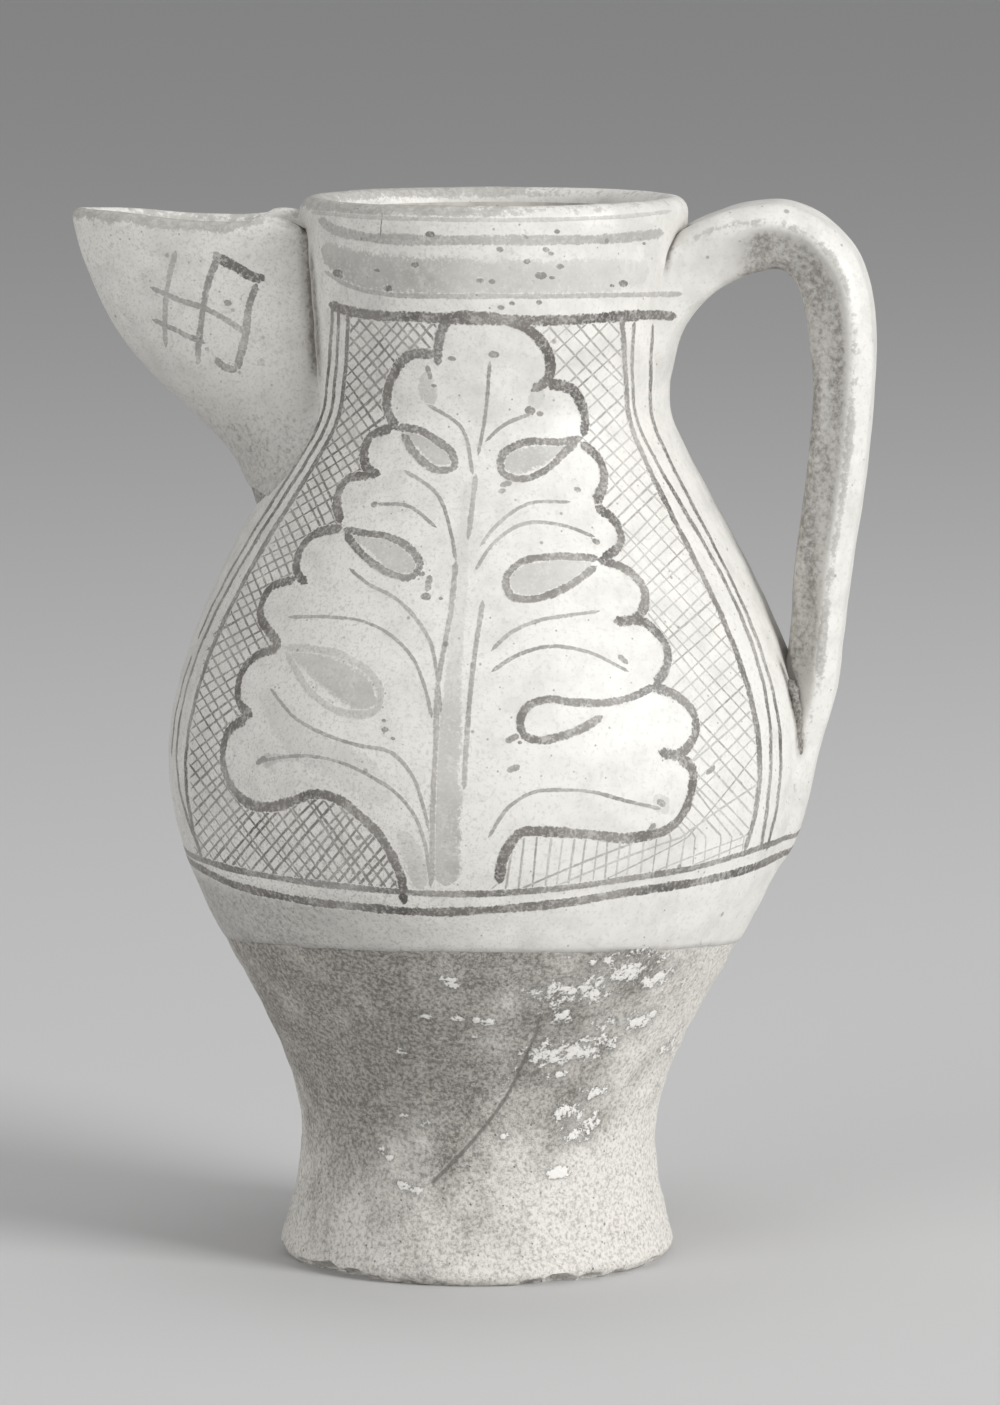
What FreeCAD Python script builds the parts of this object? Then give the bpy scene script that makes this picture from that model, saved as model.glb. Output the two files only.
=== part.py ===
import FreeCAD, Part
import math
import os

from FreeCAD import Vector

# A tin-glazed earthenware jug: a pear-shaped body thrown on a tall flared foot, an open trough
# spout luted to the front of the neck, and a strap handle opposite it.
# Frame: origin at the centre of the foot's resting face, +Z up, spout towards -X, handle towards +X.
# All lengths are in millimetres.

# Thrown body, outside
overall_height = 270.0
base_radius = 47.6
foot_radius = 50.3
foot_edge_height = 2.8
waist_radius = 45.4
waist_height = 30.5
belly_radius = 80.4
belly_drop = 141.0
throat_radius = 45.3
neck_length = 51.5
rim_radius = 48.4
lip_thickness = 6.4

# Thrown body, inside
floor_thickness = 10.0
floor_radius = 27.0
waist_wall = 8.4
belly_wall = 6.4
throat_wall = 5.8

# How strongly each curve of the profile keeps its upright tangent, as shares of the curve's rise
foot_flare_share = 0.30
foot_spread_share = 0.44
foot_waist_share = 0.42
waist_rise_share = 0.306
belly_below_share = 0.391
belly_above_share = 0.405
throat_below_share = 0.135
throat_above_share = 0.40
rim_below_share = 0.30
floor_rise_share = 0.55
floor_spread_share = 0.45
foot_round_share = 0.55

# Glaze: dipped mouth first at a slant, so its lower edge lies in a tilted plane
glaze_thickness = 0.6
dip_below_belly = 48.5
dip_tilt_degrees = 6.7

# Trough spout: its rim starts a little below the jug's and climbs towards the tip
spout_length = 61.7
spout_neck_rim_drop = 6.8
spout_rim_climb = 2.8
spout_depth = 57.2
spout_base_thickness = 20.0
spout_luting_height = 11.0
spout_root_inset = 7.3
spout_half_width = 21.5
spout_wall = 4.4
rim_overrun = 6.0
# Each row: height share, reach share, half-width share, share of the side that runs straight out,
# share of the half width that rounds the nose
spout_station_shares = [
    (0.000, 0.525, 0.86, 0.55, 0.62),
    (0.120, 0.558, 0.90, 0.54, 0.60),
    (0.235, 0.612, 0.95, 0.54, 0.58),
    (0.330, 0.690, 0.98, 0.54, 0.54),
    (0.445, 0.792, 1.00, 0.54, 0.48),
    (0.590, 0.890, 1.00, 0.55, 0.42),
    (0.750, 0.957, 1.00, 0.56, 0.38),
    (0.910, 0.996, 1.00, 0.57, 0.36),
    (1.000, 1.010, 1.00, 0.57, 0.36),
]

# Opening pierced through the neck wall behind the spout
pour_hole_width = 22.0
pour_hole_sill = 11.0
pour_hole_head = 8.2

# Strap handle, in the plane of the spout
handle_top_drop = 1.7
handle_drop = 172.0
handle_stand_off = 16.2
handle_root_inset = 6.2
handle_width = 30.0
handle_arris_radius = 3.4
handle_bevel = 5.2
arris_round_share = 0.55
bevel_round_share = 0.30
arris_wall_share = 0.28
bevel_wall_share = 0.45
# Each row: outer reach share, outer height share, inner reach share, inner height share, width share.
# Reaches are shares of the way out from the strap's root in the neck wall to its outermost point,
# and heights are shares of the rise from its low end to its top.
handle_station_shares = [
    (0.000, 0.894, 0.000, 0.783, 1.16),
    (0.160, 0.954, 0.126, 0.829, 1.14),
    (0.311, 0.985, 0.240, 0.869, 1.07),
    (0.462, 0.999, 0.395, 0.901, 1.02),
    (0.622, 0.998, 0.555, 0.911, 1.00),
    (0.790, 0.970, 0.654, 0.897, 1.00),
    (0.924, 0.915, 0.708, 0.858, 1.00),
    (0.990, 0.832, 0.740, 0.805, 1.00),
    (1.000, 0.728, 0.768, 0.722, 1.00),
    (0.975, 0.595, 0.745, 0.597, 1.00),
    (0.918, 0.466, 0.698, 0.469, 0.99),
    (0.874, 0.353, 0.674, 0.363, 0.97),
    (0.845, 0.274, 0.630, 0.291, 0.94),
    (0.785, 0.199, 0.580, 0.214, 0.88),
    (0.734, 0.117, 0.563, 0.127, 0.78),
    (0.671, 0.047, 0.530, 0.055, 0.66),
    (0.580, 0.000, 0.479, 0.008, 0.54),
]

# Clay pressed under the handle's upper end
top_luting_height = 22.0
top_luting_depth = 9.7
top_luting_drop = 22.0
top_luting_width = 27.0
top_luting_toe = 0.4
top_luting_hollow_share = 0.62

# Pad of clay smeared round the handle's lower end, from the strap's tip upwards
foot_luting_half_height = 30.0
foot_luting_half_width = 16.5
foot_luting_thickness = 1.6

# Bites broken out of the foot's edge: direction in degrees, and radius and depth in millimetres
foot_chips = [
    (-128.0, 9.0, 1.6),
    (-104.0, 6.5, 1.3),
    (-62.0, 8.0, 1.9),
    (-20.0, 7.5, 1.2),
    (35.0, 9.0, 1.5),
    (88.0, 7.0, 1.7),
    (150.0, 8.5, 1.4),
    (193.0, 8.0, 2.0),
]

# Heights and reaches that follow from the sizes above
lip_half = lip_thickness / 2
lip_centre_height = overall_height - glaze_thickness - lip_half
inner_rim_radius = rim_radius - lip_thickness
throat_height = overall_height - neck_length
belly_height = overall_height - belly_drop
dip_height = belly_height - dip_below_belly
spout_reach = throat_radius + spout_length
spout_root_depth = throat_radius - spout_root_inset
spout_neck_rim_height = overall_height - spout_neck_rim_drop
spout_tip_rim_height = spout_neck_rim_height + spout_rim_climb
spout_loft_height = spout_tip_rim_height + rim_overrun
spout_floor_height = spout_neck_rim_height - spout_depth
spout_low_height = spout_floor_height - spout_base_thickness
spout_split_height = spout_low_height + spout_luting_height
pour_hole_bottom = spout_floor_height + pour_hole_sill
pour_hole_top = spout_neck_rim_height - pour_hole_head
handle_top_height = overall_height - handle_top_drop
handle_low_height = overall_height - handle_drop
handle_reach = belly_radius + handle_stand_off
handle_root_reach = throat_radius - handle_root_inset
top_luting_high_height = overall_height - top_luting_drop
top_luting_low_height = top_luting_high_height - top_luting_height
top_luting_reach = throat_radius + top_luting_depth
foot_luting_centre_height = handle_low_height + foot_luting_half_height

# Directions and turns
full_turn_degrees = 360.0
quarter_turn_degrees = 90.0
up = Vector(0, 0, 1)
outward_x = Vector(1, 0, 0)
sideways = Vector(0, 1, 0)
centre = Vector(0, 0, 0)


def point(radius, height):
    return Vector(radius, 0, height)


def line(start, end):
    return Part.makeLine(start, end)


def bezier(*poles):
    curve = Part.BezierCurve()
    curve.setPoles(list(poles))
    return curve.toShape()


def rise(low, high, low_share, high_share):
    """Join two points of a profile by a curve that leaves and arrives upright."""
    climb = high.z - low.z
    return bezier(low, low + up * (climb * low_share), high - up * (climb * high_share), high)


def revolved(edges):
    return Part.Face(Part.Wire(edges)).revolve(centre, up, full_turn_degrees)


def outer_curves(grown=0.0):
    """Outside of the jug from the waist to the level of the lip's centre, moved out by grown."""
    waist = point(waist_radius + grown, waist_height)
    belly = point(belly_radius + grown, belly_height)
    throat = point(throat_radius + grown, throat_height)
    rim = point(rim_radius + grown, lip_centre_height)
    return [
        rise(waist, belly, waist_rise_share, belly_below_share),
        rise(belly, throat, belly_above_share, throat_below_share),
        rise(throat, rim, throat_above_share, rim_below_share),
    ]


def foot_curves():
    """Outside of the foot from the resting face to the waist."""
    base = point(base_radius, 0)
    edge = point(foot_radius, foot_edge_height)
    waist = point(waist_radius, waist_height)
    climb = waist_height - foot_edge_height
    spread = foot_radius - waist_radius
    edge_pole = point(base_radius + (foot_radius - base_radius) * foot_round_share, 0)
    edge_side_pole = point(foot_radius, foot_edge_height * foot_round_share)
    flare_height = foot_edge_height + climb * foot_flare_share
    flare_pole = point(foot_radius - spread * foot_spread_share, flare_height)
    waist_pole = point(waist_radius, waist_height - climb * foot_waist_share)
    return [bezier(base, edge_pole, edge_side_pole, edge), bezier(edge, flare_pole, waist_pole, waist)]


def inner_curves(grown=0.0):
    """Inside of the jug from the lip down to the floor, moved inwards by grown."""
    rim = point(inner_rim_radius - grown, lip_centre_height)
    throat = point(throat_radius - throat_wall - grown, throat_height)
    belly = point(belly_radius - belly_wall - grown, belly_height)
    waist = point(waist_radius - waist_wall - grown, waist_height)
    floor = point(floor_radius - grown, floor_thickness + grown)
    floor_pole = floor + outward_x * ((waist.x - floor.x) * floor_spread_share)
    waist_pole = waist - up * ((waist.z - floor.z) * floor_rise_share)
    return [
        rise(throat, rim, throat_above_share, rim_below_share),
        rise(belly, throat, belly_above_share, throat_below_share),
        rise(waist, belly, waist_rise_share, belly_below_share),
        bezier(waist, waist_pole, floor_pole, floor),
    ]


def lip_arc(grown=0.0):
    """Half round over the lip, from its outside to its inside."""
    middle_radius = rim_radius - lip_half
    radius = lip_half + grown
    return Part.Arc(
        point(middle_radius + radius, lip_centre_height),
        point(middle_radius, lip_centre_height + radius),
        point(middle_radius - radius, lip_centre_height),
    ).toShape()


def body_envelope(grown=0.0):
    """The jug's outside as one solid lump, used to trim what is joined to it."""
    waist = point(waist_radius + grown, waist_height)
    rim = point(rim_radius + grown, lip_centre_height)
    return revolved(
        [line(point(0, waist_height), waist)]
        + outer_curves(grown)
        + [line(rim, point(0, lip_centre_height)), line(point(0, lip_centre_height), point(0, waist_height))]
    )


def foot_chip_cutters():
    for direction, radius, depth in foot_chips:
        angle = math.radians(direction)
        reach = foot_radius + radius - depth
        middle = Vector(reach * math.cos(angle), reach * math.sin(angle), 0)
        yield Part.makeSphere(radius, middle)


def pour_hole_cutter():
    """An upright oval through the neck wall, open into the trough."""
    half_width = pour_hole_width / 2
    hole_height = pour_hole_top - pour_hole_bottom
    straight = hole_height - pour_hole_width
    low = pour_hole_bottom + half_width
    depth = rim_radius
    slot = Part.makeBox(depth, pour_hole_width, straight, Vector(-depth, -half_width, low))
    for height in (low, low + straight):
        end = Part.makeCylinder(half_width, depth, Vector(-depth, 0, height), outward_x)
        slot = slot.fuse(end)
    return slot.removeSplitter()


def make_thrown_body():
    profile = [line(centre, point(base_radius, 0))]
    profile += foot_curves()
    profile += outer_curves()
    profile.append(lip_arc())
    profile += inner_curves()
    profile.append(line(point(floor_radius, floor_thickness), point(0, floor_thickness)))
    profile.append(line(point(0, floor_thickness), centre))
    body = revolved(profile)
    for cutter in foot_chip_cutters():
        body = body.cut(cutter)
    return body.cut(pour_hole_cutter())


def spout_section(height, reach, half_width, straight_share, nose_share):
    """A level slice of the spout: two side walls that meet in a rounded nose."""
    run = reach - spout_root_depth
    nose = Vector(-reach, 0, height)
    nose_pull = Vector(0, half_width * nose_share, 0)
    wall_pull = Vector(-run * straight_share, 0, 0)
    near = Vector(-spout_root_depth, -half_width, height)
    far = Vector(-spout_root_depth, half_width, height)
    near_side = bezier(near, near + wall_pull, nose - nose_pull, nose)
    far_side = bezier(nose, nose + nose_pull, far + wall_pull, far)
    return Part.Wire([near_side, far_side, line(far, near)])


def spout_lump(grown=0.0):
    """Outside of the spout as a solid lump, moved out by grown."""
    climb = spout_loft_height - spout_low_height
    sections = []
    for height_share, reach_share, width_share, straight_share, nose_share in spout_station_shares:
        sections.append(spout_section(
            spout_low_height + climb * height_share,
            spout_reach * reach_share + grown,
            spout_half_width * width_share + grown,
            straight_share,
            nose_share,
        ))
    return Part.makeLoft(sections, True)


def above(height, reach):
    """A block that keeps everything above a level."""
    size = 2 * reach
    return Part.makeBox(size, size, size, Vector(-reach, -reach, height))


def spout_rim_wedge(grown=0.0):
    """What lies above the spout's rim, which climbs a little towards the tip."""
    size = 2 * spout_reach
    wedge = Part.makeBox(2 * size, 2 * size, size, Vector(-size, -size, 0))
    climb = spout_tip_rim_height - spout_neck_rim_height
    slope = math.degrees(math.atan2(climb, spout_reach - spout_root_depth))
    wedge.rotate(centre, sideways, slope)
    wedge.translate(Vector(-spout_root_depth, 0, spout_neck_rim_height + grown))
    return wedge


def make_spout_parts():
    """The trough and the pad of clay that carries its lower end."""
    hollow_floor = above(spout_floor_height, 2 * spout_reach)
    hollow = spout_lump(-spout_wall).common(hollow_floor)
    trough = spout_lump().cut(hollow).cut(body_envelope()).cut(spout_rim_wedge())
    upper = above(spout_split_height, 2 * spout_reach)
    return trough.common(upper), trough.cut(upper)


def handle_section(outer, inner, width):
    """A slice of the strap: soft inner arrises, bevelled outer ones."""
    thickness = (outer - inner).Length
    outward = (outer - inner).normalize()
    half = width / 2
    arris = min(handle_arris_radius, thickness * arris_wall_share)
    bevel = min(handle_bevel, thickness * bevel_wall_share)

    def corner(along, across, face):
        return face + outward * along + sideways * across

    edges = []
    for hand in (1, -1):
        inner_end = corner(0, hand * (half - arris), inner)
        side_start = corner(arris, hand * half, inner)
        side_end = corner(-bevel, hand * half, outer)
        outer_start = corner(0, hand * (half - bevel), outer)
        across_round = sideways * (hand * arris * arris_round_share)
        along_round = outward * (arris * arris_round_share)
        across_bevel = sideways * (hand * bevel * bevel_round_share)
        along_bevel = outward * (bevel * bevel_round_share)
        half_edges = [
            (inner_end, inner_end + across_round, side_start - along_round, side_start),
            (side_start, side_end),
            (side_end, side_end + along_bevel, outer_start + across_bevel, outer_start),
        ]
        if hand < 0:
            half_edges = [tuple(reversed(poles)) for poles in reversed(half_edges)]
        edges.append(half_edges)
    near, far = edges[1], edges[0]
    loop = far + [(far[-1][-1], near[0][0])] + near + [(near[-1][-1], far[0][0])]
    return Part.Wire([bezier(*poles) for poles in loop])


def handle_lump(grown=0.0):
    """The whole strap, its ends still running into the body."""
    climb = handle_top_height - handle_low_height
    run = handle_reach - handle_root_reach
    sections = []
    for outer_run, outer_rise, inner_run, inner_rise, width_share in handle_station_shares:
        outer = point(handle_root_reach + run * outer_run, handle_low_height + climb * outer_rise)
        inner = point(handle_root_reach + run * inner_run, handle_low_height + climb * inner_rise)
        outward = (outer - inner).normalize()
        width = handle_width * width_share + 2 * grown
        sections.append(handle_section(outer + outward * grown, inner - outward * grown, width))
    return Part.makeLoft(sections, True)


def top_luting_lump(grown=0.0):
    """A hollow-faced fillet between the neck and the underside of the strap."""
    root = throat_radius - throat_wall / 2
    toe = point(throat_radius + top_luting_toe + grown, top_luting_low_height - grown)
    tip = point(top_luting_reach + grown, top_luting_high_height)
    rise_of_face = tip.z - toe.z
    run_of_face = tip.x - toe.x
    toe_pull = up * (rise_of_face * top_luting_hollow_share)
    tip_pull = Vector(run_of_face * top_luting_hollow_share, 0, 0)
    crown = top_luting_high_height + handle_arris_radius
    outline = Part.Wire([
        line(point(root, toe.z), toe),
        bezier(toe, toe + toe_pull, tip - tip_pull, tip),
        line(tip, point(tip.x, crown)),
        line(point(tip.x, crown), point(root, crown)),
        line(point(root, crown), point(root, toe.z)),
    ])
    width = top_luting_width + 2 * grown
    lump = Part.Face(outline).extrude(Vector(0, width, 0))
    lump.translate(Vector(0, -width / 2, 0))
    return lump


def foot_luting_lump(grown=0.0):
    """An oval pad that follows the belly under the strap's lower end."""
    oval = Part.Ellipse(centre, foot_luting_half_height + grown, foot_luting_half_width + grown).toShape()
    column = Part.Face(Part.Wire([oval]))
    column.rotate(centre, sideways, -quarter_turn_degrees)
    column.translate(up * foot_luting_centre_height)
    column = column.extrude(Vector(handle_reach, 0, 0))
    return body_envelope(foot_luting_thickness + grown).common(column)


def make_handle_parts():
    """The strap and the two pieces of clay that join it to the body."""
    envelope = body_envelope()
    handle = largest_solid(handle_lump().cut(envelope))
    top_luting = largest_solid(top_luting_lump().cut(envelope).cut(handle))
    foot_luting = foot_luting_lump().cut(envelope).cut(handle)
    return handle, top_luting, foot_luting


def largest_solid(shape):
    return max(shape.Solids, key=lambda solid: solid.Volume)


def above_dip_line():
    """Everything that went into the glaze when the jug was dipped at a slant."""
    block = above(0, 2 * belly_radius)
    block.rotate(centre, outward_x, -dip_tilt_degrees)
    block.translate(up * dip_height)
    return block


def make_body_glaze(clay_joined):
    """The coat outside the body and over the lip, open where other clay joins the body."""
    start = point(waist_radius, waist_height)
    grown_start = point(waist_radius + glaze_thickness, waist_height)
    inner_lip = point(inner_rim_radius, lip_centre_height)
    grown_inner_lip = point(inner_rim_radius - glaze_thickness, lip_centre_height)
    section = [line(start, grown_start)]
    section += outer_curves(glaze_thickness)
    section.append(lip_arc(glaze_thickness))
    section.append(line(grown_inner_lip, inner_lip))
    section.append(lip_arc())
    section += reversed(outer_curves())
    coat = revolved(section).common(above_dip_line())
    for clay in clay_joined:
        coat = coat.cut(clay)
    return coat.cut(pour_hole_cutter())


def make_glaze_lining():
    """The coat inside the jug, from the lip down over the floor."""
    inner_lip = point(inner_rim_radius, lip_centre_height)
    grown_inner_lip = point(inner_rim_radius - glaze_thickness, lip_centre_height)
    floor = point(floor_radius, floor_thickness)
    floor_middle = point(0, floor_thickness)
    grown_floor = point(floor_radius - glaze_thickness, floor_thickness + glaze_thickness)
    grown_middle = point(0, floor_thickness + glaze_thickness)
    section = inner_curves()
    section.append(line(floor, floor_middle))
    section.append(line(floor_middle, grown_middle))
    section.append(line(grown_middle, grown_floor))
    section += reversed(inner_curves(glaze_thickness))
    section.append(line(grown_inner_lip, inner_lip))
    wire = Part.Wire(Part.sortEdges(section)[0])
    lining = Part.Face(wire).revolve(centre, up, full_turn_degrees)
    return lining.cut(pour_hole_cutter())


def make_spout_glaze(spout):
    """The coat inside and outside the trough and over its rim."""
    hollow_floor = above(spout_floor_height + glaze_thickness, 2 * spout_reach)
    hollow = spout_lump(-spout_wall - glaze_thickness).common(hollow_floor)
    coat = spout_lump(glaze_thickness).cut(hollow).cut(body_envelope(glaze_thickness))
    coat = coat.cut(spout_rim_wedge(glaze_thickness)).common(above(spout_split_height, 2 * spout_reach))
    return coat.cut(spout)


def make_handle_glaze(clay_joined):
    """The coat over the strap and its two joints."""
    lutings = [top_luting_lump(glaze_thickness), foot_luting_lump(glaze_thickness)]
    coat = handle_lump(glaze_thickness).fuse(lutings)
    coat = coat.cut(body_envelope(glaze_thickness))
    for clay in clay_joined:
        coat = coat.cut(clay)
    return coat


thrown_body = make_thrown_body()
spout, spout_luting = make_spout_parts()
handle, handle_top_luting, handle_foot_luting = make_handle_parts()
handle_clay = [handle, handle_top_luting, handle_foot_luting]

nodes = {
    "thrown_body": thrown_body,
    "spout": spout,
    "spout_luting": spout_luting,
    "handle": handle,
    "handle_top_luting": handle_top_luting,
    "handle_foot_luting": handle_foot_luting,
    "body_glaze": make_body_glaze([spout, spout_luting] + handle_clay),
    "spout_glaze": make_spout_glaze(spout),
    "handle_glaze": make_handle_glaze(handle_clay),
    "glaze_lining": make_glaze_lining(),
}

os.makedirs("parts", exist_ok=True)
for name, shape in nodes.items():
    print(name, shape.ShapeType, len(shape.Solids), shape.isValid(), round(shape.Volume))
    shape.exportStep("parts/" + name + ".step")
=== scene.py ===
import math
from itertools import product

import bpy
import numpy as np
from mathutils import Matrix, Vector
from mathutils.bvhtree import BVHTree


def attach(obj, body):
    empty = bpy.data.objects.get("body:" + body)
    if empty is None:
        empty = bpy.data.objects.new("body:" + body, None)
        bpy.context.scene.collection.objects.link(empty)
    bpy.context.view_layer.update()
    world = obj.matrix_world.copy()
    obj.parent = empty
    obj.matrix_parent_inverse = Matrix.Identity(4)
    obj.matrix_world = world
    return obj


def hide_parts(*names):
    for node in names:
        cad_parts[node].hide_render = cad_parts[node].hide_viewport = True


# A tin-glazed earthenware jug with an open trough spout and a strap handle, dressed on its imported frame.
# Lengths are in millimetres until a mesh is made. The spout points to -X and the handle to +X.
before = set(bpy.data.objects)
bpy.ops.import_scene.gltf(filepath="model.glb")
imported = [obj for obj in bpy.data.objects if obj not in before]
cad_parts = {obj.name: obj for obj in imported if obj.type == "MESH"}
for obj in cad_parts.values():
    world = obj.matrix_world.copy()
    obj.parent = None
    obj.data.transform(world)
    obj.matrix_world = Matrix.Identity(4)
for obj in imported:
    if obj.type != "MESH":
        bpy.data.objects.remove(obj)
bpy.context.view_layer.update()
metre = 1000.0

# Thrown body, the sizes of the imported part
overall_height = 270.0
base_radius = 47.6
foot_radius = 50.3
foot_edge_height = 2.8
waist_radius = 45.4
waist_height = 30.5
belly_radius = 80.4
belly_height = 129.0
throat_radius = 45.3
throat_height = 218.5
rim_radius = 48.4
lip_half = 3.2
floor_thickness = 10.0
floor_radius = 27.0
waist_wall = 8.4
belly_wall = 6.4
throat_wall = 5.8
glaze_thickness = 0.6
lip_centre_height = overall_height - glaze_thickness - lip_half
lip_centre_radius = rim_radius - lip_half
inner_rim_radius = rim_radius - 2 * lip_half

# The glaze ends in a slanting line, lower at the back
dip_height = 80.5
dip_slope_share = 0.1175

# The jug dried with a slight lean towards the handle, which the shoulder takes back a little
lean_share = 0.0195
lean_start_height = 131.0
shoulder_step_back = 1.4
shoulder_levels = (140, 200)
neck_step_out = 0.6
neck_levels = (205, 262)

# Trough spout
spout_low_height = 186.0
spout_split_height = 197.0
spout_neck_rim_height = 263.2
spout_rim_slope_share = 0.0406
spout_loft_height = 272.0
spout_reach = 107.0
spout_root_depth = 38.0
spout_half_width = 21.5
spout_wall = 4.4
spout_floor_height = 203.0
spout_floor_rise = 9.0
# Each row: height, reach, half-width, straight and nose shares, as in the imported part
spout_station_shares = np.array([
    (0.000, 0.525, 0.86, 0.55, 0.62),
    (0.120, 0.558, 0.90, 0.54, 0.60),
    (0.235, 0.612, 0.95, 0.54, 0.58),
    (0.330, 0.690, 0.98, 0.54, 0.54),
    (0.445, 0.792, 1.00, 0.54, 0.48),
    (0.590, 0.890, 1.00, 0.55, 0.42),
    (0.750, 0.957, 1.00, 0.56, 0.38),
    (0.910, 0.996, 1.00, 0.57, 0.36),
    (1.000, 1.010, 1.00, 0.57, 0.36),
])
pour_hole_width = 22.0
pour_hole_bottom = 217.0
pour_hole_top = 255.0
pour_hole_ends = (-62.0, -30.0)

# Strap handle
handle_top_height = 268.3
handle_low_height = 98.0
handle_reach = 96.6
handle_root_reach = 39.1
handle_width = 30.0
handle_arris = 3.4
handle_bevel = 5.2
handle_side_slope_share = 0.2
# Each row: outer run, outer rise, inner run, inner rise and width shares. The first rows reach lower
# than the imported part's, because the coat runs down over the clay pressed under the strap.
handle_station_shares = np.array([
    (0.030, 0.894, 0.094, 0.681, 1.20),
    (0.160, 0.954, 0.128, 0.756, 1.17),
    (0.311, 0.985, 0.182, 0.822, 1.09),
    (0.462, 0.999, 0.338, 0.882, 1.02),
    (0.622, 0.998, 0.555, 0.911, 1.00),
    (0.790, 0.970, 0.654, 0.897, 1.00),
    (0.924, 0.915, 0.708, 0.858, 1.00),
    (0.990, 0.832, 0.740, 0.805, 1.00),
    (1.000, 0.728, 0.768, 0.722, 1.00),
    (0.975, 0.595, 0.745, 0.597, 1.00),
    (0.918, 0.466, 0.698, 0.469, 0.99),
    (0.874, 0.353, 0.674, 0.363, 0.97),
    (0.845, 0.274, 0.630, 0.291, 0.94),
    (0.785, 0.199, 0.580, 0.214, 0.88),
    (0.734, 0.117, 0.563, 0.127, 0.78),
    (0.671, 0.047, 0.530, 0.055, 0.66),
    (0.580, 0.000, 0.479, 0.008, 0.54),
])
luting_pad_height = 128.0
luting_pad_half_height = 30.0
luting_pad_half_width = 16.5
luting_pad_thickness = 1.3
crease_half_width = 14.0
crease_low_height = 127.5
crease_bend_height = 146.0
crease_rise = 3.0

# Bites out of the foot's edge: direction in degrees, radius and depth
chip_flatness = 2.6
foot_chips = [
    (-146.0, 7.0, 4.0), (-135.0, 9.0, 5.6), (-124.0, 8.0, 5.2), (-117.0, 4.5, 3.8), (-105.0, 4.5, 2.4),
    (-96.0, 3.6, 2.6), (-84.0, 4.0, 2.0), (-68.0, 5.5, 4.2), (-60.0, 7.0, 4.8), (-50.0, 5.0, 3.4),
    (-39.0, 4.6, 3.0), (-20.0, 6.0, 2.8), (35.0, 8.0, 4.2),
    (60.0, 4.0, 2.8), (88.0, 6.5, 4.0), (120.0, 3.5, 2.6), (150.0, 8.0, 4.4), (193.0, 8.0, 4.8),
    (214.0, 4.0, 3.0),
]

# Camera, found from the jug's outline in the photograph
photo_width = 1000
photo_height = 1405
sensor_side = 36.0
lens_length = 179.11
camera_azimuth = math.radians(5.0)
camera_pitch = math.radians(7.3546)
camera_distance = 1765.0
camera_height = 369.0
camera_side_step = 3.4
photo_focal = lens_length / sensor_side * photo_height
back = np.array([math.sin(camera_azimuth), -math.cos(camera_azimuth), 0.0])
right = np.array([math.cos(camera_azimuth), math.sin(camera_azimuth), 0.0])
up = np.array([0.0, 0.0, 1.0])
forward = -back * math.cos(camera_pitch) - up * math.sin(camera_pitch)
upward = np.cross(right, forward)
eye = back * camera_distance + right * camera_side_step + up * camera_height


# Shapes

class Shape:
    """The points and faces of one piece while it is made, with named marks on the points."""

    def __init__(self):
        self.blocks = []
        self.marks = []
        self.faces = []
        self.count = 0

    def add(self, points, **marks):
        """Adds points and returns their numbers in the same arrangement."""
        numbers = np.arange(self.count, self.count + points[..., 0].size).reshape(points.shape[:-1])
        self.blocks.append(points.reshape(-1, 3))
        flat = {name: np.broadcast_to(mark, points.shape[:-1]).ravel() for name, mark in marks.items()}
        self.marks.append(flat)
        self.count += numbers.size
        return numbers

    def stand(self, points, **marks):
        """Adds points of the upright jug where its lean puts them."""
        return self.add(leaned(points), **marks)

    def points(self):
        """All the points in the order in which they were added."""
        return np.concatenate(self.blocks)

    def mark(self, name):
        """One mark for all the points, 0 on those that don't carry it."""
        parts = [flat.get(name, np.zeros(len(block))) for block, flat in zip(self.blocks, self.marks)]
        return np.concatenate(parts)

    def sheet(self, numbers):
        """Covers a grid of point numbers with four-sided faces."""
        corners = [numbers[:-1, :-1], numbers[:-1, 1:], numbers[1:, 1:], numbers[1:, :-1]]
        self.faces += np.stack(corners, axis=-1).reshape(-1, 4).tolist()

    def tube(self, numbers):
        """Covers a grid whose last column meets its first."""
        self.sheet(np.hstack([numbers, numbers[:, :1]]))

    def fan(self, ring, middle):
        """Closes a ring with triangles that meet in one point."""
        for first, second in zip(ring, np.roll(ring, -1)):
            self.faces.append([int(first), int(second), int(middle)])

    def close(self, numbers, ends, **marks):
        """Closes a tube's first and last rings, each with a fan about its end point."""
        first, last = self.add(ends, **marks)
        self.fan(numbers[0][::-1], first)
        self.fan(numbers[-1], last)

    def tree(self):
        """The faces in the form that rays are cast at."""
        return BVHTree.FromPolygons(self.points().tolist(), self.faces)


def lean_shift(heights):
    """How far the jug stands over to the handle's side: a lean, part of which the shoulder takes back."""
    step_back = shoulder_step_back * ease(heights, *shoulder_levels)
    step_back = step_back - neck_step_out * ease(heights, *neck_levels)
    return (heights - lean_start_height) * lean_share - step_back


def leaned(points):
    """Moves straight points to where the jug's lean puts them."""
    moved = np.array(points, float)
    moved[..., 0] += lean_shift(moved[..., 2])
    return moved


def straightened(points):
    """Moves points of the leaning jug back upright."""
    moved = np.array(points, float)
    moved[..., 0] -= lean_shift(moved[..., 2])
    return moved


def new_object(name, points, faces):
    """A mesh object in the scene, made from points in millimetres."""
    mesh = bpy.data.meshes.new(name)
    mesh.from_pydata((points / metre).tolist(), [], faces)
    made = bpy.data.objects.new(name, mesh)
    bpy.context.scene.collection.objects.link(made)
    return made


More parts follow.
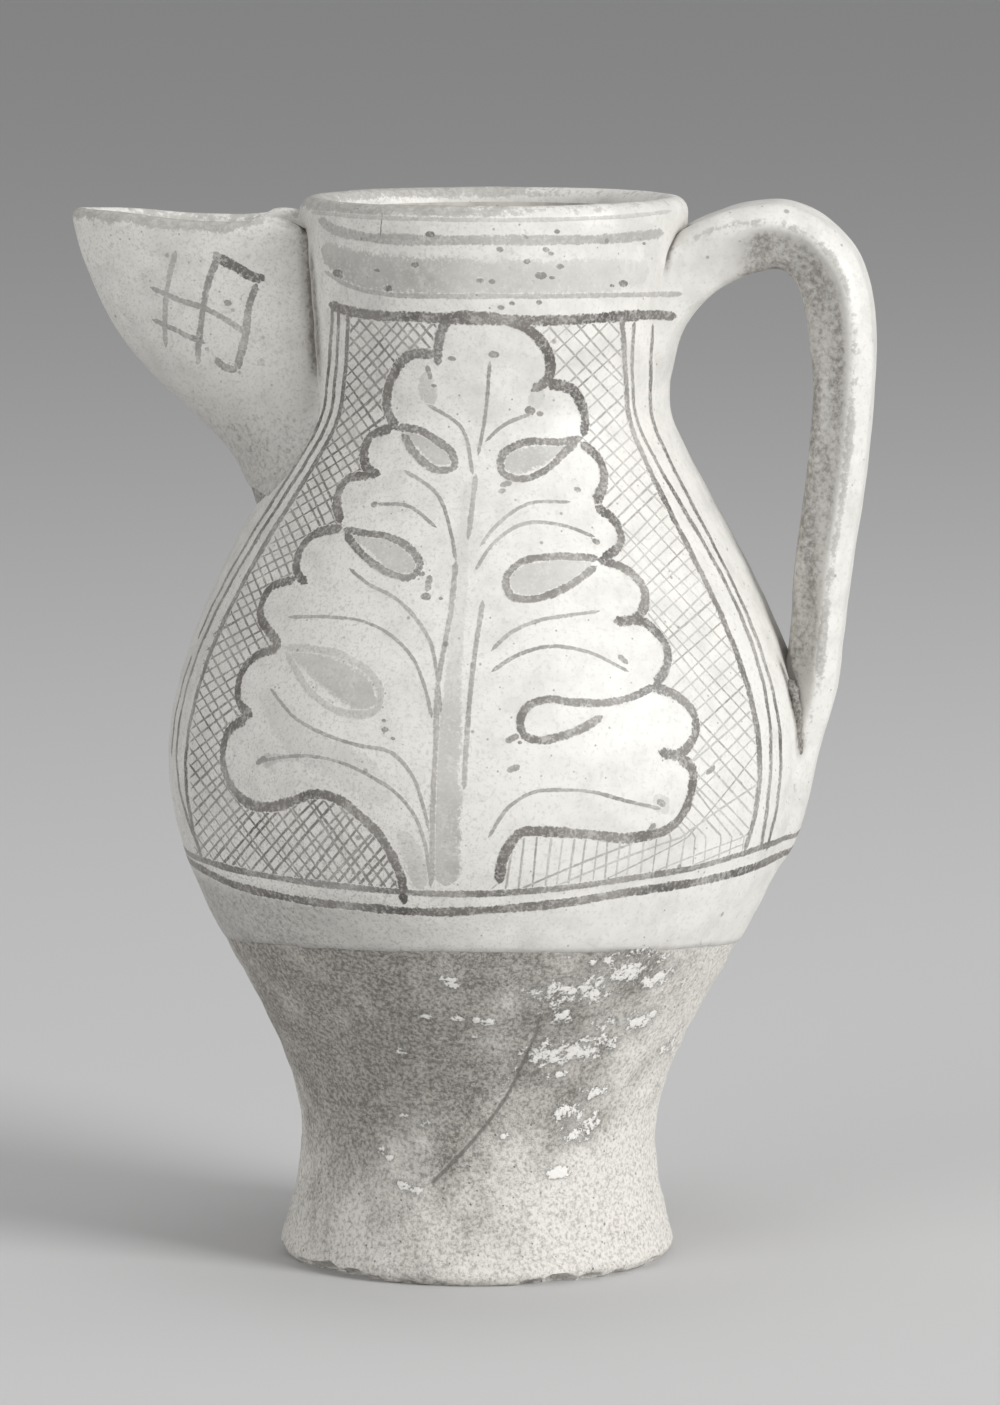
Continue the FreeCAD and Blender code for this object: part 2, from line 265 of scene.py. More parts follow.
def make_piece(name, shape, material, replaced=(), sharp_degrees=60.0):
    """Turns a shape into a piece of the jug that rides on it."""
    piece = new_object(name, shape.points(), shape.faces)
    mesh = piece.data
    for mark in sorted({mark for flat in shape.marks for mark in flat}):
        attribute = mesh.attributes.new(mark, "FLOAT", "POINT")
        attribute.data.foreach_set("value", shape.mark(mark).astype(np.float32))
    mesh.shade_smooth()
    mesh.set_sharp_from_angle(angle=math.radians(sharp_degrees))
    mesh.materials.append(material)
    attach(piece, "root")
    if replaced:
        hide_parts(*replaced)
    return piece


# Random relief

hash_factors = (73856093, 19349663, 83492791)
hash_seed_factor = 2654435761
hash_last_factor = 1274126177


def lumps(points, size, seed):
    """Smooth random values from -1 to 1 whose lumps are about size wide."""
    cell = points / size + seed * 0.37
    corner = np.floor(cell).astype(np.int64)
    share = cell - corner
    share = share * share * (3 - 2 * share)
    total = np.zeros(points.shape[:-1])
    for step in product((0, 1), repeat=3):
        place = corner + np.array(step)
        mixed = place[..., 0] * hash_factors[0] ^ place[..., 1] * hash_factors[1]
        mixed = mixed ^ place[..., 2] * hash_factors[2] ^ seed * hash_seed_factor
        mixed = (mixed ^ mixed >> 13) * hash_last_factor
        value = (mixed >> 12 & 0xffff) / 0x7fff - 1
        total += value * np.prod(np.where(np.array(step) == 1, share, 1 - share), axis=-1)
    return total


def layers(points, *rows):
    """Sets of lumps added up; each row gives a set's height, its lumps' width and its seed."""
    return sum(height * lumps(points, size, seed) for height, size, seed in rows)


def ease(value, low, high):
    """Rises smoothly from 0 at low to 1 at high."""
    share = np.clip((value - low) / (high - low), 0, 1)
    return share * share * (3 - 2 * share)


def bump_at(distance, width):
    """A rounded bump, 1 where the distance is 0."""
    return np.exp(-(distance / width) ** 2)


def raised(points, directions, heights):
    """Points moved along their directions by a height each."""
    return points + directions * heights[..., None]


def unit(vectors):
    """The same directions, each of length 1."""
    return vectors / np.maximum(np.linalg.norm(vectors, axis=-1, keepdims=True), 1e-9)


# Curves, with the rows of the profile that make the foot's edge, and the shares of each climb over which
# the profile stays upright at its two ends

edge_rows = 8
belly_rise_shares = (0.306, 0.391)
shoulder_rise_shares = (0.405, 0.135)
neck_rise_shares = (0.40, 0.30)


def bezier(poles, count):
    """Places along the curve that four poles give."""
    step = np.linspace(0, 1, count)[:, None]
    first, second, third, last = (np.array(pole, float) for pole in poles)
    near = first * (1 - step) ** 3 + 3 * second * step * (1 - step) ** 2
    return near + 3 * third * step ** 2 * (1 - step) + last * step ** 3


def rise(low, high, low_share, high_share):
    """A curve of the profile that leaves one place upright and meets the next upright."""
    climb = high[1] - low[1]
    low_pole = (low[0], low[1] + climb * low_share)
    high_pole = (high[0], high[1] - climb * high_share)
    return bezier((low, low_pole, high_pole, high), 60)


def wall_rises(waist, belly, throat, rim):
    """The curves from the waist over the belly and the throat to the rim, without their first rows."""
    return [
        rise(waist, belly, *belly_rise_shares)[1:],
        rise(belly, throat, *shoulder_rise_shares)[1:],
        rise(throat, rim, *neck_rise_shares)[1:],
    ]


def outside_profile():
    """Radius and height up the outside of the clay, from the resting face to the lip's centre."""
    spread = foot_radius - waist_radius
    climb = waist_height - foot_edge_height
    base, edge = (base_radius, 0), (foot_radius, foot_edge_height)
    waist, belly = (waist_radius, waist_height), (belly_radius, belly_height)
    throat, rim = (throat_radius, throat_height), (rim_radius, lip_centre_height)
    edge_pole = (base_radius + (foot_radius - base_radius) * 0.55, 0)
    edge_side_pole = (foot_radius, foot_edge_height * 0.55)
    flare_pole = (foot_radius - spread * 0.44, foot_edge_height + climb * 0.30)
    waist_pole = (waist_radius, waist_height - climb * 0.42)
    return np.concatenate([
        bezier((base, edge_pole, edge_side_pole, edge), edge_rows),
        bezier((edge, flare_pole, waist_pole, waist), 40)[1:],
        *wall_rises(waist, belly, throat, rim),
    ])


def inside_profile():
    """Radius and height down the inside of the clay, from the lip's centre to the floor."""
    floor, waist = (floor_radius, floor_thickness), (waist_radius - waist_wall, waist_height)
    belly, throat = (belly_radius - belly_wall, belly_height), (throat_radius - throat_wall, throat_height)
    rim = (inner_rim_radius, lip_centre_height)
    floor_pole = (floor[0] + (waist[0] - floor[0]) * 0.45, floor[1])
    waist_pole = (waist[0], waist[1] - (waist[1] - floor[1]) * 0.55)
    bowl = bezier((floor, floor_pole, waist_pole, waist), 30)
    return np.concatenate([bowl, *wall_rises(waist, belly, throat, rim)])[::-1]


outside = outside_profile()
inside = inside_profile()


def outer_radius(height):
    """Radius of the clay's outside at a height."""
    return np.interp(height, outside[:, 1], outside[:, 0])


def inner_radius(height):
    """Radius of the clay's inside at a height."""
    return np.interp(height, inside[::-1, 1], inside[::-1, 0])


def smooth_table(table, keys):
    """Rows of a table read smoothly between its own rows, by its first column."""
    known = table[:, 0]
    slopes = np.gradient(table, known, axis=0)
    row = np.clip(np.searchsorted(known, keys, side="right") - 1, 0, len(known) - 2)
    gap = known[row + 1] - known[row]
    step = np.clip((keys - known[row]) / gap, 0, 1)[..., None]
    gap = gap[..., None]
    start = (1 + 2 * step) * (1 - step) ** 2 * table[row] + step * (1 - step) ** 2 * gap * slopes[row]
    finish = step ** 2 * (3 - 2 * step) * table[row + 1] + step ** 2 * (step - 1) * gap * slopes[row + 1]
    return start + finish


def along_path(points):
    """How far along a path each of its points lies."""
    steps = np.linalg.norm(np.diff(points, axis=0), axis=1)
    return np.concatenate([[0], np.cumsum(steps)])


def smooth_path(points, step):
    """Points a step apart on a smooth curve through the given ones."""
    points = np.array(points, float)
    if len(points) > 2:
        along = along_path(points)
        places = np.linspace(0, along[-1], max(8, int(along[-1] / step) * 4))
        points = smooth_table(np.column_stack([along, points]), places)[:, 1:]
    return even_path(points, step)


def even_path(points, step):
    """Points a step apart on the straight lines between the given ones."""
    along = along_path(points)
    places = np.linspace(0, along[-1], max(3, int(round(along[-1] / step)) + 1))
    return np.column_stack([np.interp(places, along, points[:, axis]) for axis in range(points.shape[1])])


# Shader sheets, with the numbers of the sockets that have no name of their own

object_place_output = 3
mix_first_input = 6
mix_second_input = 7
mix_colour_output = 2
cell_colour_output = 1
mark_value_output = 2


class Wire:
    """One shader socket that ordinary sums can be written with."""

    def __init__(self, finish, socket):
        self.finish = finish
        self.socket = socket

    def math(self, operation, first, second):
        """A sum worked out in the shader."""
        return self.finish.node("ShaderNodeMath", {"operation": operation}, {0: first, 1: second})

    def __add__(self, other):
        return self.math("ADD", self, other)

    def __radd__(self, other):
        return self.math("ADD", other, self)

    def __sub__(self, other):
        return self.math("SUBTRACT", self, other)

    def __rsub__(self, other):
        return self.math("SUBTRACT", other, self)

    def __mul__(self, other):
        return self.math("MULTIPLY", self, other)

    def __rmul__(self, other):
        return self.math("MULTIPLY", other, self)

    def most(self, other):
        """The greater of the two."""
        return self.math("MAXIMUM", self, other)

    def between(self, low, high):
        """Rises smoothly from 0 at low to 1 at high."""
        settings = {"interpolation_type": "SMOOTHSTEP"}
        return self.finish.node("ShaderNodeMapRange", settings, {0: self, 1: low, 2: high})

    def blend(self, first, second):
        """The first colour where this is 0 and the second where it is 1."""
        return self.finish.mix(self, first, second)


class Finish:
    """The shader of one material."""

    def __init__(self, name):
        self.material = bpy.data.materials.new(name)
        self.material.use_nodes = True
        self.tree = self.material.node_tree
        self.tree.nodes.clear()
        self.place = self.node("ShaderNodeTexCoord", {}, {}, object_place_output)

    def node(self, kind, settings, sockets, output=0):
        """Makes a node with its settings and sockets, and returns one of its outputs."""
        made = self.tree.nodes.new(kind)
        for name, value in settings.items():
            setattr(made, name, value)
        for key, value in sockets.items():
            socket = made.inputs[key]
            if isinstance(value, Wire):
                self.tree.links.new(value.socket, socket)
            elif isinstance(value, tuple) and len(socket.default_value) == 4:
                socket.default_value = value + (1.0,)
            else:
                socket.default_value = value
        return Wire(self, made.outputs[output])

    def mix(self, share, first, second):
        """The first colour where the share is 0 and the second where it is 1."""
        sockets = {0: share, mix_first_input: first, mix_second_input: second}
        return self.node("ShaderNodeMix", {"data_type": "RGBA"}, sockets, mix_colour_output)

    def grain(self, size, detail=2.0, roughness=0.5, stretch=(1.0, 1.0, 1.0)):
        """Random cloudiness from 0 to 1 whose patches are about size wide."""
        place = self.node("ShaderNodeVectorMath", {"operation": "MULTIPLY"}, {0: self.place, 1: stretch})
        sockets = {"Vector": place, "Scale": metre / size, "Detail": detail, "Roughness": roughness}
        return self.node("ShaderNodeTexNoise", {}, sockets)

    def dots(self, spacing, radius_share, kept_share):
        """Round dots scattered a spacing apart, of which a share is kept."""
        sockets = {"Vector": self.place, "Scale": metre / spacing}
        cells = self.node("ShaderNodeTexVoronoi", {}, sockets)
        colour = Wire(self, cells.socket.node.outputs[cell_colour_output])
        chance = self.node("ShaderNodeSeparateColor", {}, {0: colour})
        kept = chance.between(1 - kept_share, 1 - kept_share + 0.02)
        return (1 - cells.between(radius_share * 0.5, radius_share)) * kept

    def mark(self, name):
        """A mark that the piece's points carry."""
        settings = {"attribute_type": "GEOMETRY", "attribute_name": name}
        return self.node("ShaderNodeAttribute", settings, {}, mark_value_output)

    def towards(self, axis):
        """The place along one of the jug's axes, in metres."""
        return self.node("ShaderNodeSeparateXYZ", {}, {0: self.place}, axis)

    def relief(self, height, depth):
        """A surface bumped by a height from 0 to 1, as deep as the depth in millimetres."""
        sockets = {"Strength": 1.0, "Distance": depth / metre, "Height": height}
        return self.node("ShaderNodeBump", {}, sockets)

    def surface(self, colour, roughness, normal, gloss=0.5):
        """Ends the sheet with one plain surface and returns the material."""
        sockets = {"Base Color": colour, "Roughness": roughness, "Normal": normal}
        sockets["Specular IOR Level"] = gloss
        shader = self.node("ShaderNodeBsdfPrincipled", {}, sockets)
        output = self.tree.nodes.new("ShaderNodeOutputMaterial")
        self.tree.links.new(shader.socket, output.inputs[0])
        return self.material


# Finishes

glaze_ivory = (0.76, 0.745, 0.705)
glaze_shade = (0.50, 0.49, 0.46)
glaze_speck = (0.30, 0.285, 0.26)
# the grey of worn glaze, also used for painted shade
worn_and_shaded_glaze = (0.36, 0.345, 0.32)
pigment_dark = (0.056, 0.050, 0.045)
# a pale pigment, also used for the dark specks of painted shade
pale_pigment_and_shade = (0.205, 0.188, 0.172)
wash_grey = (0.34, 0.34, 0.318)
clay_dark = (0.17, 0.16, 0.146)
clay_mid = (0.45, 0.425, 0.39)
clay_pale = (0.76, 0.735, 0.69)
clay_shadow = (0.02, 0.018, 0.016)
crust_white = (0.82, 0.80, 0.76)
lining_light = (0.60, 0.58, 0.53)
lining_dark = (0.40, 0.38, 0.345)
floor_grey = (0.62, 0.62, 0.62)

# Where the glaze is corroded, in metres: from this far over on the spout's side, and more below a level
corroded_side = 0.045
corroded_side_fade = 0.09
corroded_level = 0.150
corroded_level_fade = 0.07


def glaze_colour(finish):
    """The coat's colour, shared by the paint so that its thin places match the coat under it."""
    cloud = finish.grain(46, 3.0)
    mottle = finish.grain(7, 4.0, 0.6)
    grit = finish.grain(1.1, 3.0, 0.65)
    shade = (cloud * 0.5 + mottle * 0.5).between(0.40, 0.70)
    colour = (shade * 0.62).blend(glaze_ivory, glaze_shade)
    spout_side = (corroded_side - finish.towards(0)).between(0.0, corroded_side_fade)
    low = (corroded_level - finish.towards(2)).between(0.0, corroded_level_fade)
    coarse = spout_side * (0.45 + 0.55 * low)
    colour = (grit.between(0.50, 0.70) * (0.40 + coarse * 0.45)).blend(colour, glaze_shade)
    fine = finish.grain(0.7, 2.0, 0.7)
    colour = (fine.between(0.54, 0.66) * coarse * 0.75).blend(colour, glaze_speck)
    specks = finish.dots(2.6, 0.14, 0.30)
    for spacing, radius_share, kept_share in ((6.5, 0.09, 0.5), (11.0, 0.085, 0.35)):
        specks = specks.most(finish.dots(spacing, radius_share, kept_share))
    return (specks * 0.8).blend(colour, glaze_speck)


def glaze_relief(finish, depth=0.12):
    """The swell of the glaze and its pinholes."""
    pits = finish.dots(5.2, 0.10, 0.5)
    swell = finish.grain(5.5, 3.0) * 0.8 + finish.grain(0.9, 2.0) * 0.12
    return finish.relief(swell - pits * 0.7, depth)


def tin_glaze(name):
    """The off-white coat, lost where it is worn, and greyed with painted shade where the shade mark is high.
    """
    finish = Finish(name)
    grit = finish.grain(1.4, 4.0, 0.7)
    patch = finish.grain(5.0, 3.0, 0.6)
    loss = (finish.mark("worn") + (grit - 0.5) * 0.9 + (patch - 0.5) * 0.7).between(0.42, 0.62)
    bare = grit.between(0.35, 0.65).blend(worn_and_shaded_glaze, glaze_shade)
    colour = loss.blend(glaze_colour(finish), bare)
    # painted shade: a grey film and dark speckles where the shade mark is high
    colour = (finish.mark("soil").between(0.05, 0.55) * 0.60).blend(colour, worn_and_shaded_glaze)
    speckled_shade = (finish.mark("soil") + (grit - 0.5) * 0.8).between(0.40, 0.75)
    colour = speckled_shade.blend(colour, pale_pigment_and_shade)
    roughness = finish.grain(9, 3.0).between(0.2, 0.8) * 0.12 + 0.40 + loss * 0.25
    return finish.surface(colour, roughness, glaze_relief(finish), 0.45)


def lining_glaze(name):
    """The coat inside, in streaks that run down."""
    finish = Finish(name)
    streak = finish.grain(8, 4.0, 0.6, (1.0, 1.0, 0.25))
    colour = streak.between(0.35, 0.7).blend(lining_light, lining_dark)
    specks = finish.dots(3.4, 0.13, 0.4)
    colour = (specks * 0.7).blend(colour, glaze_speck)
    return finish.surface(colour, 0.48, glaze_relief(finish, 0.15), 0.4)


def bare_clay(name, shaded=0.0):
    """Gritty fired clay: paler where the pale mark says, white where a crust lies."""
    finish = Finish(name)
    grit = finish.grain(1.0, 4.0, 0.75)
    patch = finish.grain(11, 4.0, 0.6)
    drift = finish.grain(30, 3.0, 0.6, (1.0, 1.0, 0.5))
    pale = (finish.mark("pale") + (patch - 0.5) * 1.0 + (drift - 0.5) * 0.7).between(0.12, 0.95)
    colour = grit.between(0.36, 0.66).blend(clay_dark, clay_mid)
    colour = (pale * (0.35 + grit.between(0.30, 0.6) * 0.6)).blend(colour, clay_pale)
    crumbs = (grit - 0.5) * 1.7 + (finish.grain(2.6, 3.0, 0.6) - 0.5) * 1.0
    crust = (finish.mark("crust") + crumbs).between(0.50, 0.74)
    colour = crust.blend(colour, crust_white)
    pores = finish.dots(2.2, 0.16, 0.35).most(finish.mark("scar").between(0.3, 0.8))
    colour = (pores * 0.8).blend(colour, clay_dark)
    if shaded:
        colour = finish.mix(shaded, colour, clay_shadow)
    relief = grit * 1.0 + finish.grain(3.2, 3.0, 0.6) * 1.2 + crust * 0.8 - pores * 0.5
    return finish.surface(colour, 0.86, finish.relief(relief, 0.28), 0.25)


def painted(name, dark, light, strength):
    """Granular pigment sunk in the glaze, thin at a stroke's edges and where the tone mark is low."""
    finish = Finish(name)
    grit = finish.grain(0.85, 3.0, 0.75)
    patch = finish.grain(3.6, 3.0, 0.6)
    pool = finish.grain(14, 3.0, 0.5)
    edge = ((1 - finish.mark("across")) + (grit - 0.5) * 1.1).between(0.0, 0.26)
    body = (grit * 0.7 + patch * 0.3).between(0.38, 0.56)
    cover = edge * (0.52 + body * 0.48) * finish.mark("tone") * strength
    pigment = (pool * 0.5 + grit * 0.5).between(0.38, 0.66).blend(dark, light)
    colour = cover.blend(glaze_colour(finish), pigment)
    return finish.surface(colour, 0.5, glaze_relief(finish), 0.4)


glaze_finish = tin_glaze("tin_glaze")
lining_finish = lining_glaze("lining_glaze")
clay_finish = bare_clay("bare_clay")
luting_finish = bare_clay("luting_clay", 0.15)
pigment_finish = painted("brown_pigment", pigment_dark, pale_pigment_and_shade, 1.0)
wash_finish = painted("pale_wash", wash_grey, glaze_shade, 0.9)


# Thrown body, and how far the back of a coat lies in the clay

ridge_height = 0.07
ridge_spacing = 1.55
coat_sink = 0.5
lining_sink = 0.3
floor_ring_radius = 14.0
underside_radii = np.array([floor_ring_radius, 28.0, 40.0, 45.5])
bare_clay_top = 98
chipped_top = 14
broad_crust = 3.6


def around(columns):
    """Even turns round the jug, one for each column of a surface."""
    return np.linspace(0, 2 * math.pi, columns, endpoint=False)


def turned(radii, heights, angles):
    """Points of a turned surface; radii and heights are one row each, or a grid."""
    radii, heights = np.atleast_2d(radii), np.atleast_2d(heights)
    if radii.shape[0] == 1:
        radii, heights = radii.T, heights.T
    radii = np.broadcast_to(radii, (radii.shape[0], len(angles)))
    heights = np.broadcast_to(heights, radii.shape)
    return np.stack([radii * np.cos(angles), radii * np.sin(angles), heights], axis=-1)


def outward(points):
    """Level directions away from the jug's axis."""
    return unit(points * np.array([1.0, 1.0, 0.0]))


def gap_to_body(points, grown):
    """How far points stand off the thrown body, or off a coat grown on it."""
    return np.hypot(points[..., 0], points[..., 1]) - outer_radius(points[..., 2]) - grown


def turning_relief(points):
    """Slight ridges that the thrower's fingers left, and the roundness lost in drying."""
    wander = lumps(points, 40, 3) * 2.2
    ridges = ridge_height * np.sin(points[..., 2] / ridge_spacing + wander)
    return ridges + layers(points, (0.16, 34, 5), (0.07, 12, 6))


def clay_relief(points):
    """The thrower's ridges under the roughness of the bare clay."""
    return turning_relief(points) + layers(points, (0.16, 5.5, 11), (0.10, 2.4, 12))


# Crusts on the bare clay: a pixel of the photograph and the crust's size
crust_spots = [
    (564, 990, 9.0), (592, 988, 7.0), (628, 975, 8.0), (654, 978, 6.0), (606, 962, 5.0), (545, 1056, 8.0),
    (574, 1052, 8.0), (600, 1044, 6.0), (640, 1020, 6.0), (560, 1016, 4.0), (556, 1074, 4.0),
    (566, 1112, 4.5), (588, 1120, 5.0), (576, 1134, 5.0), (598, 1092, 4.0), (560, 1172, 3.5),
    (449, 980, 2.4), (455, 986, 1.8), (427, 1016, 2.0), (460, 1018, 2.0), (480, 1020, 1.8),
    (488, 1022, 1.8), (478, 1037, 1.8), (401, 1051, 1.8), (410, 1117, 2.2), (426, 1123, 2.0),
    (384, 1150, 1.5), (390, 1157, 1.5), (405, 1185, 2.6), (416, 1190, 2.0), (503, 1136, 2.0),
    (505, 1077, 1.6),
]
scar_line = [(540, 1018), (537, 1030), (524, 1060), (509, 1092), (485, 1126), (456, 1159), (432, 1183)]


def sight(pixel):
    """Direction from the camera through a pixel of the photograph."""
    across = (pixel[0] - photo_width / 2) / photo_focal
    rise_share = (photo_height / 2 - pixel[1]) / photo_focal
    return forward + right * across + upward * rise_share


def seen(tree, pixels):
    """Points of a surface that the photograph's pixels show."""
    places = []
    for pixel in pixels:
        place = tree.ray_cast(Vector(eye), Vector(sight(pixel)))[0]
        if place is not None:
            places.append(place)
    return np.array(places, float)


def plain_tree():
    """The body's plain outside, which carries the places read from the photograph."""
    shape = Shape()
    heights = np.linspace(foot_edge_height, lip_centre_height, 160)
    shape.tube(shape.stand(turned(outer_radius(heights), heights, around(220))))
    return shape.tree()


plain_body = plain_tree()


def clay_marks(points):
    """Marks for the bare clay: pale towards the foot, the sides and the back, with painted light paler
    towards the handle's side, crusts and a scar.
    """
    x, y, z = np.moveaxis(points, -1, 0)
    from_front = np.arctan2(np.abs(x), -y)
    side = ease(from_front, math.radians(38), math.radians(78)) * (0.30 + 0.70 * ease(x, -40, 0))
    low = 1 - ease(z, 4, 64)
    smear = 0.22 * lumps(points * [1, 1, 0.3], 7, 23) + 0.16 * lumps(points, 13, 24)
    # painted light: paler towards the handle's side, where the lamp falls
    painted_light_right = 0.34 * ease(x, -6, 40)
    pale = np.clip(0.12 + 0.42 * low + 0.30 * low ** 2 + 0.50 * side + painted_light_right + smear, 0, 1)
    patches = layers(points, (1.0, 8, 21), (0.5, 3.5, 22), (0.45, 1.7, 25))
    right_front = ease(x, -8, 22) * ease(z, 26, 60)
    crust = 0.40 * ease(patches, 0.25, 1.0) + 0.30 * right_front * ease(patches, 0.15, 0.9)
    world = leaned(points)
    ragged = 1 + layers(points, (0.45, 2.4, 26), (0.35, 1.2, 27))
    for *pixel, size in crust_spots:
        middle = seen(plain_body, [pixel])[0]
        reach = np.linalg.norm((world - middle) * [0.7, 0.7, 1.5], axis=-1)
        strength = 0.76 if size > broad_crust else 0.95
        crust = np.maximum(crust, bump_at(reach, size) * strength * ragged)
    scar = np.zeros(points.shape[:-1])
    for middle in seen(plain_body, smooth_path(scar_line, 2)):
        scar = np.maximum(scar, bump_at(np.linalg.norm(world - middle, axis=-1), 0.62))
    return {"pale": pale, "crust": crust, "scar": scar}


def chipped(points):
    """Pushes the foot's edge in where low, wide bites have broken out of it."""
    flat = np.array([1.0, 1.0, chip_flatness])
    moved = points * flat
    rough = 1 + layers(points, (0.12, 3.0, 31), (0.08, 1.3, 32))
    for direction, radius, depth in foot_chips:
        angle = math.radians(direction)
        reach = foot_radius + radius - depth
        middle = np.array([reach * math.cos(angle), reach * math.sin(angle), 0.0])
        gap = moved - middle
        distance = np.linalg.norm(gap, axis=-1, keepdims=True)
        size = radius * rough[..., None]
        moved = np.where(distance < size, middle + gap / np.maximum(distance, 1e-6) * size, moved)
    return moved / flat


def lip_arc(size, turns):
    """Radius and height of the lip's round at a distance from its centre line."""
    radii = lip_centre_radius + size * np.cos(turns)
    return np.column_stack([radii, lip_centre_height + size * np.sin(turns)])


def make_clay_body():
    """The thrown clay: fine rows where it is bare and coarse ones where the glaze hides it."""
    shape = Shape()
    bare = np.arange(foot_edge_height, bare_clay_top, 0.95)
    hidden = np.linspace(bare_clay_top + 1, lip_centre_height, 28)
    rows = np.concatenate([
        np.column_stack([underside_radii, 0 * underside_radii]),
        outside[:edge_rows - 1],
        np.column_stack([outer_radius(bare), bare]),
        np.column_stack([outer_radius(hidden), hidden]),
        lip_arc(lip_half, np.linspace(0, math.pi, 9)[1:-1]),
        inside[::6],
        [(floor_ring_radius, floor_thickness)],
    ])
    points = turned(rows[:, 0], rows[:, 1], around(420))
    rough = ease(points[..., 2], 0.0, 4.0) * (1 - ease(points[..., 2], 96, 104))
    marks = clay_marks(points)
    height = clay_relief(points) + 0.45 * marks["crust"] - 0.35 * marks["scar"]
    points = raised(points, outward(points), height * rough)
    points = np.where(points[..., 2:] < chipped_top, chipped(points), points)
    points[..., 2] = np.maximum(points[..., 2], 0)
    numbers = shape.stand(points, **marks)
    shape.tube(numbers)
    shape.close(numbers, leaned([(0, 0, 0), (0, 0, floor_thickness)]))
    return shape


def dip_line(angles):
    """Height of the glaze's lower edge round the body."""
    y = outer_radius(dip_height) * np.sin(angles)
    ring = turned(70.0, dip_height, angles)[0]
    return dip_height - y * dip_slope_share + layers(ring, (0.35, 16, 41), (0.18, 5, 42))


def luting_pad(points):
    """How far the clay smeared round the strap's lower end stands out under the glaze."""
    across = points[..., 1] / luting_pad_half_width
    along = (points[..., 2] - luting_pad_height) / luting_pad_half_height
    inside_pad = 1 - ease(np.hypot(across, along), 0.62, 1.12)
    return np.where(points[..., 0] > 0, luting_pad_thickness * inside_pad, 0)


def coat_points(angles, start_heights, rows):
    """Outside of the glaze from its lower edge to the level of the lip's centre."""
    share = np.linspace(0, 1, rows)[:, None]
    heights = start_heights + (lip_centre_height - start_heights) * share
    edge = ease(heights - start_heights, -1.2, 2.4)
    points = turned(outer_radius(heights) + glaze_thickness * edge, heights, angles)
    height = turning_relief(points) + luting_pad(points)
    height = height * (1 - 0.8 * ease(heights, lip_centre_height - 6, lip_centre_height))
    return raised(points, outward(points), height)


def body_painted_shade(points):
    """Painted shade in the creases beside the spout and beside the strap's lower end, and painted shade low
    on the spout's side.
    """
    heights, y = points[..., 2], np.abs(points[..., 1])
    # painted shade in the creases beside the strap's lower end and beside the spout
    by_strap = bump_at(y - crease_half_width, 2.0) * (points[..., 0] > 0)
    by_strap = by_strap * ease(heights, 127, 134) * (1 - ease(heights, 152, 158))
    by_spout = bump_at(y - spout_half_width, 2.2) * (points[..., 0] < 0)
    by_spout = by_spout * ease(heights, 216, 232) * (1 - ease(heights, 254, 262))
    # painted shade low on the spout's side, away from the lamp
    low_shade = (1 - ease(heights, 97, 106)) * (1 - ease(points[..., 0], -50, 25))
    return 0.8 * by_strap + 0.62 * by_spout + 0.5 * low_shade


def lip_worn(points):
    """Where handling has rubbed the lip: along its top and in patches down its outside."""
    top = ease(points[..., 2], lip_centre_height - 1.0, lip_centre_height + 2.6)
    spout_side = 0.28 * (1 - ease(points[..., 0], -20, 30)) * top
    return 0.42 * top + spout_side + 0.12 * ease(lumps(points, 14, 51), 0.2, 0.8)


def make_body_coat():
    """The glaze outside the body, over the lip and back down inside the clay's face."""
    shape = Shape()
    angles = around(330)
    starts = dip_line(angles)
    outer = coat_points(angles, starts, 122)
    turns = np.linspace(0, math.pi, 13)[1:]
    arc = lip_arc(lip_half + glaze_thickness, turns)
    crown = turned(arc[:, 0], arc[:, 1], angles)
    crown[..., 2] += layers(crown, (0.22, 24, 52), (0.10, 6, 53)) * np.sin(turns)[:, None]
    clay_arc = lip_arc(lip_half, np.linspace(math.pi, 0, 9))
    inner_crown = turned(clay_arc[:, 0], clay_arc[:, 1], angles)
    heights = starts + (lip_centre_height - starts) * np.linspace(1, 0, 60)[1:, None]
    under = turned(outer_radius(heights) - coat_sink, heights, angles)
    points = np.concatenate([outer, crown, inner_crown, under])
    numbers = shape.stand(points, worn=lip_worn(points), soil=body_painted_shade(points))
    shape.tube(np.vstack([numbers, numbers[:1]]))
    return shape


def make_lining():
    """The glaze inside, with its face in the hollow and its back in the clay."""
    shape = Shape()
    angles = around(220)
    wall = np.vstack([inside[::2], [(floor_ring_radius, floor_thickness)]])
    upright = wall[:, 1:] > floor_thickness
    face = wall + np.where(upright, (-glaze_thickness, 0), (0, glaze_thickness))
    face_points = turned(face[:, 0], face[:, 1], angles)
    face_points = raised(face_points, outward(face_points), -0.8 * turning_relief(face_points))
    wall_points = turned(wall[:, 0] + lining_sink, wall[:, 1], angles)
    numbers = shape.stand(np.concatenate([face_points, wall_points[::-1]]))
    half = len(face)
    shape.tube(numbers[:half])
    shape.tube(numbers[half:])
    shape.tube(np.vstack([numbers[-1:], numbers[:1]]))
    middles = shape.stand([(0, 0, floor_thickness + glaze_thickness), (0, 0, floor_thickness - lining_sink)])
    shape.fan(numbers[half - 1], middles[0])
    shape.fan(numbers[half][::-1], middles[1])
    return shape


# Trough spout

groove_depth = 3.0
clay_fillet = 3.6
coat_fillet = 4.6
spout_axis = np.array([-62.0, 0.0, 0.0])
rim_bend_degrees = np.array([14, 28, 42, 56, 68, 80])
coat_back = -0.1


